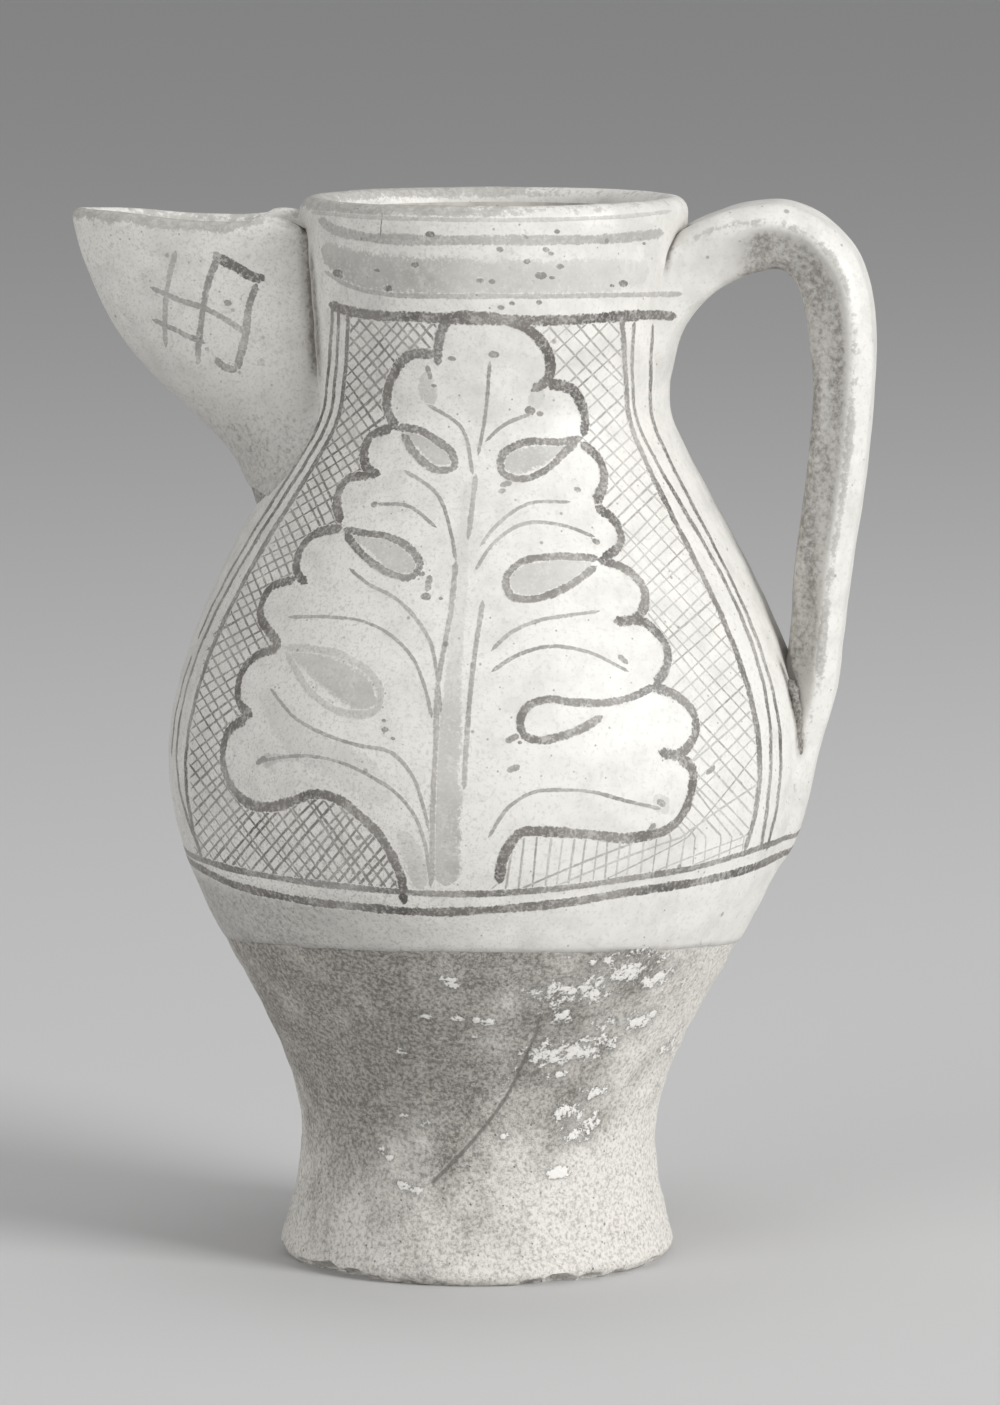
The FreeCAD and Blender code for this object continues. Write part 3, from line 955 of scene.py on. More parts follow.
def spout_point(turn, heights, grown):
    """A point of the spout's side at a level: turn runs from 1 at the far root over 0 at the nose to -1."""
    keys = np.clip((heights - spout_low_height) / (spout_loft_height - spout_low_height), 0, 1)
    row = smooth_table(spout_station_shares, keys)
    reach = spout_reach * row[..., 1] + grown
    half = spout_half_width * row[..., 2] + grown
    straight, nose = row[..., 3], row[..., 4]
    run = reach - spout_root_depth
    step = 1 - np.abs(turn)
    first, second = (1 - step) ** 3, 3 * step * (1 - step) ** 2
    third, last = 3 * step ** 2 * (1 - step), step ** 3
    x = -(spout_root_depth * first + (spout_root_depth + run * straight) * second + reach * (third + last))
    y = np.sign(turn) * half * (first + second + nose * third)
    return x, y


def spout_rim_height(x):
    """The rim climbs to the tip, dips where it meets the neck and steps down past the rubbed stretch."""
    outer = -x - spout_root_depth
    line = spout_neck_rim_height + outer * spout_rim_slope_share
    dip = 3.0 * bump_at(outer - 4.0, 6.0)
    arch = 1.3 * bump_at(outer - 17.0, 8.0)
    step = 0.9 * ease(outer, 20.0, 22.5) * (1 - ease(outer, 40.0, 60.0))
    return line - dip + arch - step


def wall_radius(heights):
    """The middle of the body's wall, where the spout's sides end."""
    return (outer_radius(heights) + inner_radius(heights)) / 2


def kept_outside(x, y, radius):
    """Moves points out to a ring round the axis where they lie inside it."""
    reach = np.hypot(x, y)
    grow = np.maximum(radius / np.maximum(reach, 1e-6), 1.0)
    return x * grow, y * grow


def spout_joint(x, y, heights, grown):
    """A groove beside the neck high up, and lower down a smeared fillet, which the coat fills further."""
    gap = np.hypot(x, y) - outer_radius(heights)
    groove = groove_depth * ease(heights, 206, 234) * bump_at(gap - 0.8, 2.7)
    size = clay_fillet + (coat_fillet - clay_fillet) * ease(grown, 0, glaze_thickness)
    fillet = size * (1 - ease(heights, 196, 236)) * np.exp(-np.clip(gap, 0, 40) / 5.0)
    return y + np.sign(y) * (fillet - groove)


def spout_grid(turns, low, grown, rows):
    """Both faces of the trough from a level up to its rounded rim: outer columns, then inner ones back."""
    top_x = spout_point(turns, np.full(turns.shape, spout_neck_rim_height), grown)[0]
    rim = spout_rim_height(top_x) + grown
    rounding = spout_wall / 2 + grown
    share = np.linspace(0, 1, rows)[:, None]
    heights = low + (rim - rounding - low) * share
    drawn_in = np.zeros_like(heights)
    bend = np.radians(rim_bend_degrees)[:, None]
    heights = np.vstack([heights, rim - rounding + rounding * np.sin(bend)])
    drawn_in = np.vstack([drawn_in, rounding * (1 - np.cos(bend)) + 0 * turns])
    outer_x, outer_y = spout_point(turns, heights, grown - drawn_in)
    outer_y = spout_joint(outer_x, outer_y, heights, grown)
    outer_x, outer_y = kept_outside(outer_x, outer_y, wall_radius(heights))
    inner_x, inner_y = spout_point(turns, heights, drawn_in - spout_wall - grown)
    ring = wall_radius(heights) - 0.7
    inner_x, inner_y = kept_outside(inner_x, inner_y, ring)
    opened = ease(heights, spout_floor_height, spout_floor_height + spout_floor_rise) ** 0.7
    inner_reach = np.hypot(inner_x, inner_y)
    shrink = (ring + (inner_reach - ring) * opened) / inner_reach
    outer = np.stack([outer_x, outer_y, heights], axis=-1)
    inner = np.stack([inner_x * shrink, inner_y * shrink, heights], axis=-1)
    points = np.concatenate([outer, inner[:, ::-1]], axis=1)
    return raised(points, outward(points - spout_axis), layers(points, (0.16, 14, 61), (0.10, 5, 62)))


def spout_marks(points):
    """The rubbed rim, the greyer patch where the glaze has gone from the near side, and painted shade in the
    groove by the neck and over the lower spout.
    """
    x, y, z = np.moveaxis(points, -1, 0)
    near_rim = ease(z - spout_rim_height(x), -3.4, -0.4)
    patch_line = 252 + (x + 72) * 1.05
    patch = ease(z - patch_line, -1.5, 2.5) * (y < 0) * (x < -57)
    # painted shade: in the groove by the neck, and over the spout's lower sides
    soil = 0.75 * bump_at(gap_to_body(points, glaze_thickness) - 0.2, 2.2) * ease(z, 214, 232)
    soil = np.maximum(soil, 0.16 + 0.32 * (1 - ease(z, 204, 246)))
    return {"worn": np.clip(0.42 * near_rim + 0.20 * patch + 0.10, 0, 1), "soil": soil}


def rim_strip(shape, numbers):
    """Joins the outer and inner halves of the last row over the rim."""
    row = numbers[-1]
    half = len(row) // 2
    shape.sheet(np.vstack([row[:half], row[half:][::-1]]))


def make_spout_clay(low, high, rows, pale):
    """Clay of the spout between two levels, or up to its rim where high is None."""
    shape = Shape()
    points = spout_grid(np.linspace(1, -1, 61), low, 0.0, rows)
    if high is not None:
        nose = points[:, points.shape[1] // 4, 2]
        points = points[:int((nose < high).sum()) + 1]
    scar = np.clip(0.9 * lumps(points * [1, 1, 0.25], 1.6, 63), 0, 1)
    numbers = shape.stand(points, pale=pale, scar=scar)
    shape.tube(numbers)
    if high is not None:
        shape.close(numbers, leaned(points[[0, -1]].mean(axis=1)))
        return shape
    shape.fan(numbers[0][::-1], shape.stand(points[0].mean(axis=0)))
    rim_strip(shape, numbers)
    return shape


def make_spout_coat():
    """The glaze on both faces of the trough and over its rim, with a ragged lower edge."""
    shape = Shape()
    turns = np.linspace(1, -1, 141)
    low = spout_split_height + 1
    outer, inner = (spout_grid(turns, low, grown, 84) for grown in (glaze_thickness, coat_back))
    slope = 0.34 * np.maximum(outer[:1, :, 0] + 61, 0) + 0.35 * lumps(outer[:1], 4, 64)
    for points in (outer, inner):
        fade = np.linspace(1, 0, len(points))[:, None] ** 6
        points[..., 2] -= np.minimum(slope, 9) * fade
    numbers = shape.stand(outer, **spout_marks(outer))
    under = shape.stand(inner)
    shape.tube(numbers)
    rim_strip(shape, numbers)
    shape.tube(under[:, ::-1])
    rim_strip(shape, under[:, ::-1])
    shape.tube(np.vstack([under[:1], numbers[:1]]))
    return shape


# Strap handle

arris_column = 19
side_column = 10
joint_fade = 3.6
neck_spread = 4.2
belly_spread = 5.0
sideways = np.array([0.0, 1.0, 0.0])


def handle_outline(half, thickness):
    """Across and along places of a strap's section, from the inner face round and back."""
    arris = min(handle_arris, thickness * 0.28)
    bevel = min(handle_bevel, thickness * 0.45)
    inner = half * (1 - handle_side_slope_share)
    side = bezier(((inner - arris, 0), (inner - arris * 0.45, 0), (inner, arris * 0.45), (inner, arris)), 7)
    wall = np.column_stack([np.linspace(inner, half, 7), np.linspace(arris, thickness - bevel, 7)])[1:]
    shoulder = bezier((
        (half, thickness - bevel), (half, thickness - bevel * 0.7),
        (half - bevel * 0.7, thickness), (half - bevel, thickness),
    ), 9)[1:]
    inner_face = np.column_stack([np.linspace(0, inner - arris, 7)[:-1], np.zeros(6)])
    outer_face = np.linspace(half - bevel, 0, 7)[1:]
    crown = np.column_stack([outer_face, thickness + 0.5 * (1 - (outer_face / (half - bevel)) ** 2)])
    right_half = np.concatenate([inner_face, side, wall, shoulder, crown])
    left_half = right_half[1:-1][::-1] * np.array([-1.0, 1.0])
    return np.concatenate([right_half, left_half])


def spread_at_joints(points, grown):
    """Smears the strap's sides and its underside out where they meet the neck and the belly."""
    heights = points[..., 2]
    near = np.exp(-np.clip(gap_to_body(points, grown), 0, 60) / joint_fade)
    by_neck = (points[..., 0] < handle_reach * 0.72) * (heights > 190)
    on_neck = by_neck * (1 - ease(heights, 243, 257))
    low_down = 1 - ease(heights, 124, 133)
    side = points[..., 1] / (handle_width / 2)
    spread = neck_spread * on_neck + belly_spread * low_down
    points = points.copy()
    radius = outer_radius(heights)
    sag = radius - np.sqrt(radius ** 2 - np.clip(points[..., 1], -30, 30) ** 2)
    points[..., 0] -= 0.9 * sag * by_neck * (1 - ease(points[..., 0], radius + 1, radius + 14))
    points[..., 1] += side * near * spread
    narrowing = np.clip((236 - heights) / 24, 0, 1) * on_neck
    points[..., 1] *= 1 - 0.55 * narrowing ** 1.5
    in_wall = inner_radius(heights) + 1.6 + 0.5 * grown
    in_wall = np.where(points[..., 0] < throat_radius + 4, in_wall, 0)
    points[..., 0], points[..., 1] = kept_outside(points[..., 0], points[..., 1], in_wall)
    return points


def strap_place(run_share, rise_share):
    """A place in the strap's upright plane, by its shares of the strap's reach and height."""
    x = handle_root_reach + (handle_reach - handle_root_reach) * run_share
    z = handle_low_height + (handle_top_height - handle_low_height) * rise_share
    return np.array([x, 0, z])


def handle_grid(grown, rows):
    """Sections of the strap from its root in the neck to its lower end in the belly."""
    count = len(handle_station_shares)
    keyed = np.column_stack([np.arange(count), handle_station_shares])
    sections = []
    for row in smooth_table(keyed, np.linspace(0, count - 1, rows))[:, 1:]:
        outer, inner, width_share = strap_place(*row[:2]), strap_place(*row[2:4]), row[4]
        away = unit(outer - inner)
        thickness = np.linalg.norm(outer - inner) + 2 * grown
        outline = handle_outline(handle_width * width_share / 2 + grown, thickness)
        sections.append(inner - away * grown + outline[:, 1:] * away + outline[:, :1] * sideways)
    points = spread_at_joints(np.array(sections), grown)
    side = unit(points - points.mean(axis=1, keepdims=True))
    return raised(points, side, layers(points, (0.22, 17, 71), (0.12, 5, 72)))


def columns_off(count, column):
    """How many columns each one of a section lies from a given one or from its twin."""
    columns = np.arange(count)
    return np.minimum(np.abs(columns - column), np.abs(columns - count + column))


def handle_marks(points):
    """Wear along both outer arrises, and painted shade on the inner sides, beside the rim and in the crease
    below.
    """
    x, z = points[..., 0], points[..., 2]
    count = points.shape[1]
    worn = 0.74 * bump_at(columns_off(count, arris_column), 2.2) * (0.78 + 0.35 * lumps(points, 16, 73))
    gap = gap_to_body(points, glaze_thickness) - 0.2
    # painted shade: in the crease below, on the inner sides with streaks, and in the groove by the rim
    low = 0.9 * bump_at(gap, 1.6) * ease(z, 126, 134) * (1 - ease(z, 160, 178))
    top = 0.8 * bump_at(gap, 1.0) * ease(z, 249, 256)
    on_side = 1 - ease(columns_off(count, side_column), 6.0, 9.0)
    streaks = 0.10 * lumps(points * [1, 1, 0.2], 3, 74)
    side = (0.54 + streaks) * on_side * ease(z, 134, 158) * ease(x, 54, 68)
    return {"worn": np.clip(worn + 0.05, 0, 1), "soil": low + side + top}


def make_handle(grown, rows, hollow):
    """The strap, solid as clay or hollow as the coat that lies on it."""
    shape = Shape()
    points = handle_grid(grown, rows)
    numbers = shape.stand(points, **handle_marks(points))
    shape.tube(numbers)
    if hollow:
        under = shape.stand(handle_grid(coat_back, rows))
        shape.tube(under[:, ::-1])
        shape.tube(np.vstack([under[:1], numbers[:1]]))
        shape.tube(np.vstack([numbers[-1:], under[-1:]]))
    else:
        shape.close(numbers, leaned(points[[0, -1]].mean(axis=1)))
    return shape


def make_crease_clay():
    """Rough clay left in the crease where the strap's lower end was pressed on the belly."""
    side_heights = np.linspace(crease_low_height, crease_bend_height, 16)
    half = 0.92 * crease_half_width
    side = np.full(len(side_heights), half)
    turn = np.linspace(0, math.pi, 13)[1:-1]
    y = np.concatenate([-side, -half * np.cos(turn), side])
    z = np.concatenate([side_heights, crease_bend_height + crease_rise * np.sin(turn), side_heights[::-1]])
    y, z = even_path(np.column_stack([y, z]), 0.7).T
    reach = outer_radius(z) + 0.9
    middle = np.stack([np.sqrt(reach ** 2 - y ** 2), y, z], axis=-1)
    away = outward(middle)
    across = np.cross(unit(np.gradient(middle, axis=0)), away)
    size = 0.35 + 1.35 * ease(z, 127, 138)
    angles = around(14)[:, None]
    ring = across[:, None] * np.cos(angles) + away[:, None] * np.sin(angles)
    points = raised(middle[:, None], ring, size[:, None])
    height = layers(points, (0.75, 2.2, 81), (0.5, 1.1, 82))
    points = raised(points, ring, height * np.minimum(size, 1.2)[:, None])
    shape = Shape()
    # pale crust on the tops of the lumps, also standing in for painted glints
    numbers = shape.stand(points, pale=0.0, crust=0.30 * ease(height, 0.4, 0.9))
    shape.tube(numbers)
    shape.close(numbers, leaned(points[[0, -1]].mean(axis=1)))
    return shape


def leaned_node(name, size_share, step_in):
    """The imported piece's own form, a little smaller, moved in under the coat and leaned with the jug."""
    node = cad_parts[name].data
    shape = Shape()
    points = np.array([vertex.co for vertex in node.vertices], float) * metre
    middle = (points.min(axis=0) + points.max(axis=0)) / 2
    points = middle + (points - middle) * size_share - np.array([step_in, 0.0, 0.0])
    shape.stand(points, pale=0.3)
    shape.faces = [list(face.vertices) for face in node.polygons]
    return shape


def pierce(piece):
    """Cuts the upright oval behind the spout through a piece."""
    shape = Shape()
    half = pour_hole_width / 2
    turn = np.linspace(0, math.pi, 17)
    straight_high, straight_low = pour_hole_top - half, pour_hole_bottom + half
    y = np.concatenate([half * np.cos(turn), -half * np.cos(turn)])
    z = np.concatenate([straight_high + half * np.sin(turn), straight_low - half * np.sin(turn)])
    ring = np.stack([np.stack([np.full(len(y), x), y, z], axis=-1) for x in pour_hole_ends])
    numbers = shape.stand(ring)
    shape.tube(numbers)
    shape.close(numbers, leaned(ring.mean(axis=1)))
    cutter = new_object("pour_hole", shape.points(), shape.faces)
    cut = piece.modifiers.new("pour_hole", "BOOLEAN")
    cut.operation = "DIFFERENCE"
    cut.solver = "EXACT"
    cut.object = cutter
    bpy.context.view_layer.update()
    evaluated = piece.evaluated_get(bpy.context.evaluated_depsgraph_get())
    piece.data = bpy.data.meshes.new_from_object(evaluated)
    piece.modifiers.clear()
    bpy.data.objects.remove(cutter)


body_coat = make_body_coat()
spout_coat = make_spout_coat()
handle_coat = make_handle(glaze_thickness, 300, True)

clay_body_piece = make_piece("clay_body", make_clay_body(), clay_finish, ["thrown_body"], 50)
body_coat_piece = make_piece("body_coat", body_coat, glaze_finish, ["body_glaze"], 70)
lining_piece = make_piece("inner_coat", make_lining(), lining_finish, ["glaze_lining"])
for pierced in (clay_body_piece, body_coat_piece, lining_piece):
    pierce(pierced)
spout_clay = make_spout_clay(spout_split_height, None, 34, 0.25)
spout_joint_clay = make_spout_clay(spout_low_height, spout_split_height, 70, 0.35)
make_piece("spout_clay", spout_clay, clay_finish, ["spout"])
make_piece("spout_joint_clay", spout_joint_clay, luting_finish, ["spout_luting"])
make_piece("spout_coat", spout_coat, glaze_finish, ["spout_glaze"], 70)
make_piece("handle_clay", make_handle(0.0, 120, False), clay_finish, ["handle"])
make_piece("handle_coat", handle_coat, glaze_finish, ["handle_glaze"], 70)
root_clay = leaned_node("handle_top_luting", 0.86, 1.0)
make_piece("handle_root_clay", root_clay, luting_finish, ["handle_top_luting"], 30)
make_piece("handle_crease_clay", make_crease_clay(), luting_finish, ["handle_foot_luting"])


# Painting, with the places that the photograph shows in its pixels

stroke_sink = 0.25
end_round = 0.3
past_the_ends = 1000.0
outline_width = 3.0
frame_width = 1.15
thin_width = 0.9
vein_width = 1.05
stalk_width = 1.5
mark_width = 1.8
hatch_width = 0.72
pixel_size = 0.2545
# How far each layer of paint stands off the glaze
wash_lift = 0.03
hatch_lift = 0.05
neck_lift = 0.06
vein_lift = 0.07
lattice_lift = 0.08
outline_lift = 0.10
ring_lift = 0.11
frame_lift = 0.12
# Places across a stroke, from edge to edge, at which it gets a row of points
across_shares = (1.0, 0.6, 0.0, -0.6, -1.0)
narrow_shares = (1.0, 0.0, -1.0)
broad_shares = (1.0, 0.9, 0.65, 0.35, 0.0, -0.35, -0.65, -0.9, -1.0)


class Ground:
    """The glazed surface that paint is laid on."""

    def __init__(self, *shapes):
        points, faces, start = [], [], 0
        for shape in shapes:
            points.append(shape.points())
            faces += [[number + start for number in face] for face in shape.faces]
            start += shape.count
        self.tree = BVHTree.FromPolygons(np.concatenate(points).tolist(), faces)

    def settle(self, points):
        """Nearest places on the surface and the directions off it."""
        found = [self.tree.find_nearest(Vector(point))[:2] for point in points.reshape(-1, 3)]
        places, normals = (np.array(column, float).reshape(points.shape) for column in zip(*found))
        return places, normals

    def from_outside(self, angles, heights):
        """Places that level rays towards the axis meet first."""
        rays = turned(1.0, 0.0, angles)[0]
        places = []
        for ray, height in zip(rays, heights):
            start = leaned(ray * 2 * belly_radius + up * height)
            places.append(self.tree.ray_cast(Vector(start), Vector(-ray))[0])
        return np.array(places, float)


def lay(shape, ground, path, width, lift, tone=1.0, shares=across_shares, closed=False):
    """Lays one stroke along a path: rounded, uneven, sunk at its edges and closed all round."""
    middle, normals = ground.settle(path)
    run = unit(np.gradient(middle, axis=0))
    across = unit(np.cross(normals, run))
    along = along_path(middle)
    half = width / 2 * np.ones(len(path))
    to_end = np.minimum(along, along[-1] - along) + (past_the_ends if closed else 0)
    left = np.clip(1 - to_end / (half + end_round), 0, 1)
    taper = np.sqrt(np.clip(1 - left ** 2, 0.02, 1))
    half = half * taper * (1 + layers(middle, (0.16, 7, 91), (0.12, 2.2, 92)))
    shares = np.array(shares)
    spread = middle[:, None] + across[:, None] * (shares[None, :] * half[:, None])[..., None]
    places, off = ground.settle(spread)
    top = places + off * (lift * (1 - 0.5 * shares ** 2))[None, :, None]
    under = places[:, [-1, 0]] - off[:, [-1, 0]] * stroke_sink
    points = np.concatenate([top, under], axis=1)
    edge = np.maximum(np.abs(shares)[None, :], (1 - taper)[:, None])
    edge = np.concatenate([edge, np.ones((len(path), 2))], axis=1)
    tone = np.reshape(tone, (-1, 1))
    strength = np.clip(tone * (1 + 0.22 * lumps(points, 11, 93)), 0, 1)
    numbers = shape.add(points, across=edge, tone=strength)
    if closed:
        shape.tube(np.vstack([numbers, numbers[:1]]))
        return
    shape.tube(numbers)
    shape.close(numbers, points[[0, -1]].mean(axis=1), across=1.0)


def mirrored(path):
    """The same path on the jug's other side."""
    return leaned(straightened(path) * np.array([1.0, -1.0, 1.0]))


def drawn_fair(ground, path):
    """The same line with its turn round the jug made an even curve of its height.

    What faces the camera leads the curve. The second result is how far the ground faces the camera along it.
    """
    straight = straightened(path)
    turn = np.arctan2(straight[:, 1], straight[:, 0])
    middle, half = straight[:, 2].mean(), np.ptp(straight[:, 2]) / 2
    facing = np.clip(outward(straight) @ back, 0.05, 1)
    keys = (straight[:, 2] - middle) / half
    fair = np.polyval(np.polyfit(keys, turn, 4, w=facing), keys)
    reach = np.hypot(straight[:, 0], straight[:, 1])
    moved = leaned(np.column_stack([reach * np.cos(fair), reach * np.sin(fair), straight[:, 2]]))
    settled, normals = ground.settle(moved)
    for number, point in enumerate(moved):
        place = ground.tree.ray_cast(Vector(eye), Vector(point - eye))[0]
        if place is not None and np.linalg.norm(np.array(place) - point) < 4:
            settled[number] = place
    return settled, np.clip(normals @ back, 0.42, 1)


def paint_piece(name, ground, strokes, lift, finish, slot, shares=across_shares, fair=False):
    """Makes one piece of paint from strokes of a width, a tone and pixels, and its twin at the back.

    A fair line is as wide to the camera all along as its width says. Without a width, each row of pixels
    brings its own breadth and tone.
    """
    near, far = Shape(), Shape()
    for width, tone, pixels in strokes:
        pixels = np.array(pixels, float)
        length = np.linalg.norm(np.diff(pixels[:, :2], axis=0), axis=1).sum()
        rows = smooth_path(pixels, min(5, length / 9))
        path = seen(ground.tree, rows[:, :2])
        if len(path) < 3:
            continue
        breadth = width
        if fair:
            path, facing = drawn_fair(ground, path)
            breadth = width / facing
        if width is None:
            breadth = rows[:len(path), 2] * pixel_size
            tone = rows[:len(path), 3]
        lay(near, ground, path, breadth, lift, tone, shares)
        lay(far, ground, mirrored(path), breadth, lift, tone, shares)
    make_piece(name + "_front", near, finish)
    make_piece(name + "_back", far, finish)


def paint_ring(name, ground, rings, lift):
    """Lines that run round the whole jug, drawn after their near halves."""
    shape = Shape()
    angles = around(300)
    folded = np.abs((angles + math.pi) % (2 * math.pi) - math.pi)
    for width, tone, pixels in rings:
        path = straightened(seen(ground.tree, smooth_path(pixels, 6)))
        turn = np.abs(np.arctan2(path[:, 1], path[:, 0]))
        order = np.argsort(turn)
        heights = np.interp(folded, turn[order], path[order, 2])
        places = ground.from_outside(angles, heights)
        lay(shape, ground, places, width, lift, tone, closed=True)
    make_piece(name, shape, pigment_finish)


# The leaf's edge, lobe by lobe from its tip down each side
right_lobes = [
    [(438, 366), (438, 350), (447, 321), (485, 317), (528, 329), (549, 356), (549, 377), (531, 391)],
    [(546, 383), (571, 389), (585, 418), (583, 437)],
    [(580, 442), (600, 461), (604, 480), (595, 504)],
    [(595, 506), (616, 523), (621, 542), (602, 560)],
    [(597, 559), (628, 571), (644, 590), (645, 603), (638, 617), (613, 622)],
    [(626, 620), (641, 621), (658, 634), (667, 649), (666, 668), (654, 686)],
    [(650, 686), (675, 695), (692, 711), (696, 726), (690, 744), (676, 755), (658, 751)],
    [(677, 757), (692, 768), (692, 786), (685, 810), (668, 829), (644, 836), (626, 838), (593, 835),
     (552, 832), (519, 834), (505, 853), (499, 884)],
]
left_lobes = [
    [(440, 354), (408, 356), (391, 380), (387, 408), (397, 430)],
    [(394, 427), (370, 437), (364, 456), (369, 471), (381, 475)],
    [(372, 475), (346, 480), (337, 499), (341, 524)],
    [(343, 528), (313, 535), (298, 556), (298, 575), (308, 584)],
    [(297, 579), (272, 587), (262, 603), (261, 619), (270, 632), (281, 648)],
    [(280, 648), (260, 654), (243, 670), (238, 688), (240, 704), (253, 717)],
    [(248, 717), (229, 731), (223, 749), (225, 772), (234, 790), (252, 805), (272, 807), (293, 801),
     (314, 794), (337, 799), (359, 815), (380, 836), (392, 856), (401, 877), (404, 905)],
]
leaf_teardrops = [
    [(583, 438), (561, 442), (523, 443), (502, 456), (502, 472), (518, 479), (546, 470), (566, 451),
     (578, 441)],
    [(600, 559), (578, 557), (547, 557), (518, 564), (506, 578), (511, 596), (533, 599), (561, 590),
     (597, 566)],
    [(655, 686), (629, 698), (603, 703), (572, 702), (544, 700), (526, 708), (520, 720), (525, 736),
     (538, 740), (562, 736), (583, 728), (603, 716)],
    [(396, 427), (418, 430), (437, 441), (453, 455), (454, 467), (437, 470), (418, 457), (402, 433)],
    [(343, 529), (363, 533), (389, 537), (412, 551), (420, 566), (411, 577), (389, 573), (365, 557),
     (345, 533)],
]
faint_teardrop = [(285, 647), (310, 649), (339, 654), (367, 670), (381, 692), (377, 709), (345, 713),
                  (313, 694), (286, 652)]
leaf_veins = [
    [(490, 360), (485, 418), (478, 456)],
    [(427, 404), (461, 427), (473, 475)],
    [(533, 413), (504, 425), (485, 442)],
    [(404, 470), (437, 494), (451, 533), (456, 561)],
    [(375, 504), (408, 506), (437, 528)],
    [(349, 568), (367, 583), (395, 598), (418, 621), (431, 644), (436, 668), (441, 713)],
    [(288, 617), (329, 617), (362, 621), (392, 636), (415, 662), (425, 688), (432, 718)],
    [(270, 688), (293, 716), (329, 736), (357, 745), (392, 753), (413, 777), (423, 805), (429, 830)],
    [(258, 762), (283, 757), (308, 756), (336, 761), (372, 777), (395, 792), (413, 813), (423, 836),
     (428, 861), (431, 888)],
    [(480, 547), (494, 528), (528, 504), (571, 502)],
    [(475, 571), (492, 545), (523, 524), (561, 525), (595, 537)],
    [(491, 651), (509, 634), (537, 621), (572, 615), (600, 611)],
    [(491, 672), (516, 656), (544, 647), (588, 652), (629, 672)],
    [(488, 838), (509, 807), (534, 792), (560, 790), (593, 792), (623, 800), (662, 809)],
]
stalk_lines = [
    [(456, 561), (451, 611), (443, 654), (438, 684), (436, 740), (433, 800), (432, 884)],
    [(476, 474), (473, 500), (468, 540)],
    [(483, 600), (474, 660), (468, 720), (464, 790)],
]
small_marks = [
    [(500, 486), (512, 482)], [(498, 492), (506, 490)], [(430, 575), (427, 592)], [(505, 742), (519, 735)],
    [(507, 771), (520, 766)], [(706, 774), (715, 766)], [(655, 823), (646, 838)], [(574, 488), (581, 491)],
    [(592, 540), (600, 543)], [(657, 800), (665, 806)], [(427, 365), (431, 380)], [(533, 388), (543, 383)],
    [(256, 764), (266, 757)], [(371, 504), (378, 505)], [(618, 655), (628, 664)],
]
# Washes: pixels, the wash's breadth there and its strength
leaf_washes = [
    [(574, 444, 4, 0.8), (556, 450, 15, 0.8), (530, 458, 27, 0.9), (509, 465, 24, 0.9),
     (503, 466, 10, 0.9)],
    [(592, 562, 5, 0.6), (565, 571, 28, 0.7), (535, 579, 37, 0.8), (514, 583, 28, 0.8),
     (508, 584, 10, 0.8)],
    [(404, 432, 6, 0.8), (424, 442, 18, 0.9), (441, 455, 24, 0.9), (451, 463, 12, 0.9)],
    [(350, 532, 5, 0.6), (375, 544, 20, 0.8), (398, 557, 32, 0.9), (412, 566, 20, 0.9), (418, 568, 8, 0.9)],
    [(292, 652, 10, 0.6), (322, 668, 30, 0.8), (350, 686, 44, 0.9), (368, 699, 26, 0.9),
     (377, 702, 8, 0.9)],
    [(468, 484, 8, 0.2), (462, 560, 14, 0.3), (456, 640, 17, 0.4), (452, 700, 22, 0.6), (448, 760, 28, 0.9),
     (446, 820, 31, 1.0), (446, 886, 31, 1.0)],
    [(425, 372, 16, 0.5), (428, 392, 22, 0.6), (434, 404, 10, 0.6)],
    [(262, 762, 22, 0.8), (278, 758, 10, 0.6), (300, 758, 6, 0.3)],
    [(540, 384, 14, 0.4), (536, 400, 18, 0.5), (531, 411, 8, 0.4)],
    [(398, 830, 12, 0.4), (410, 848, 20, 0.6), (418, 872, 22, 0.7), (420, 890, 20, 0.7)],
    [(655, 795, 14, 0.4), (663, 806, 18, 0.5), (668, 814, 6, 0.4)],
    [(262, 690, 24, 0.3), (300, 740, 40, 0.35), (352, 770, 44, 0.35), (392, 800, 30, 0.3)],
]
left_frame = [(348, 308), (348, 339), (347, 369), (340, 399), (334, 421), (324, 446), (312, 469),
              (293, 503), (268, 547), (241, 586), (220, 620), (205, 650), (196, 689), (191, 724),
              (188, 758), (191, 793), (193, 827), (195, 856)]
right_frame = [(624, 317), (623, 360), (624, 389), (638, 437), (667, 509), (695, 560), (726, 627),
               (745, 680), (756, 726), (760, 775), (757, 808), (743, 852)]
thin_frames = [
    [(337, 308), (339, 330), (338, 363), (334, 393), (329, 411), (316, 438), (306, 460), (287, 498),
     (258, 542), (234, 577), (211, 613), (195, 650), (185, 689), (179, 724), (179, 758), (182, 788),
     (189, 820), (194, 846)],
    [(330, 303), (332, 326), (332, 351), (330, 381), (321, 411), (313, 427), (300, 451), (281, 492),
     (250, 542), (221, 586), (205, 613), (190, 640), (183, 669), (177, 701), (174, 731), (173, 758)],
    [(639, 320), (633, 340), (629, 358), (633, 399), (657, 461), (713, 560), (742, 620), (756, 660),
     (769, 718), (771, 775), (767, 816), (758, 848)],
    [(659, 322), (651, 345), (647, 362), (650, 399), (671, 461), (705, 528), (728, 575), (764, 663),
     (779, 722), (781, 772), (777, 810), (764, 852)],
]
top_frame = [(328, 304), (345, 310), (365, 314), (418, 317), (490, 320), (566, 320), (628, 316), (660, 315),
             (677, 317)]
bottom_frame = [(193, 856), (225, 867), (280, 878), (350, 887), (450, 894), (552, 889), (644, 876),
                (697, 867), (744, 853)]
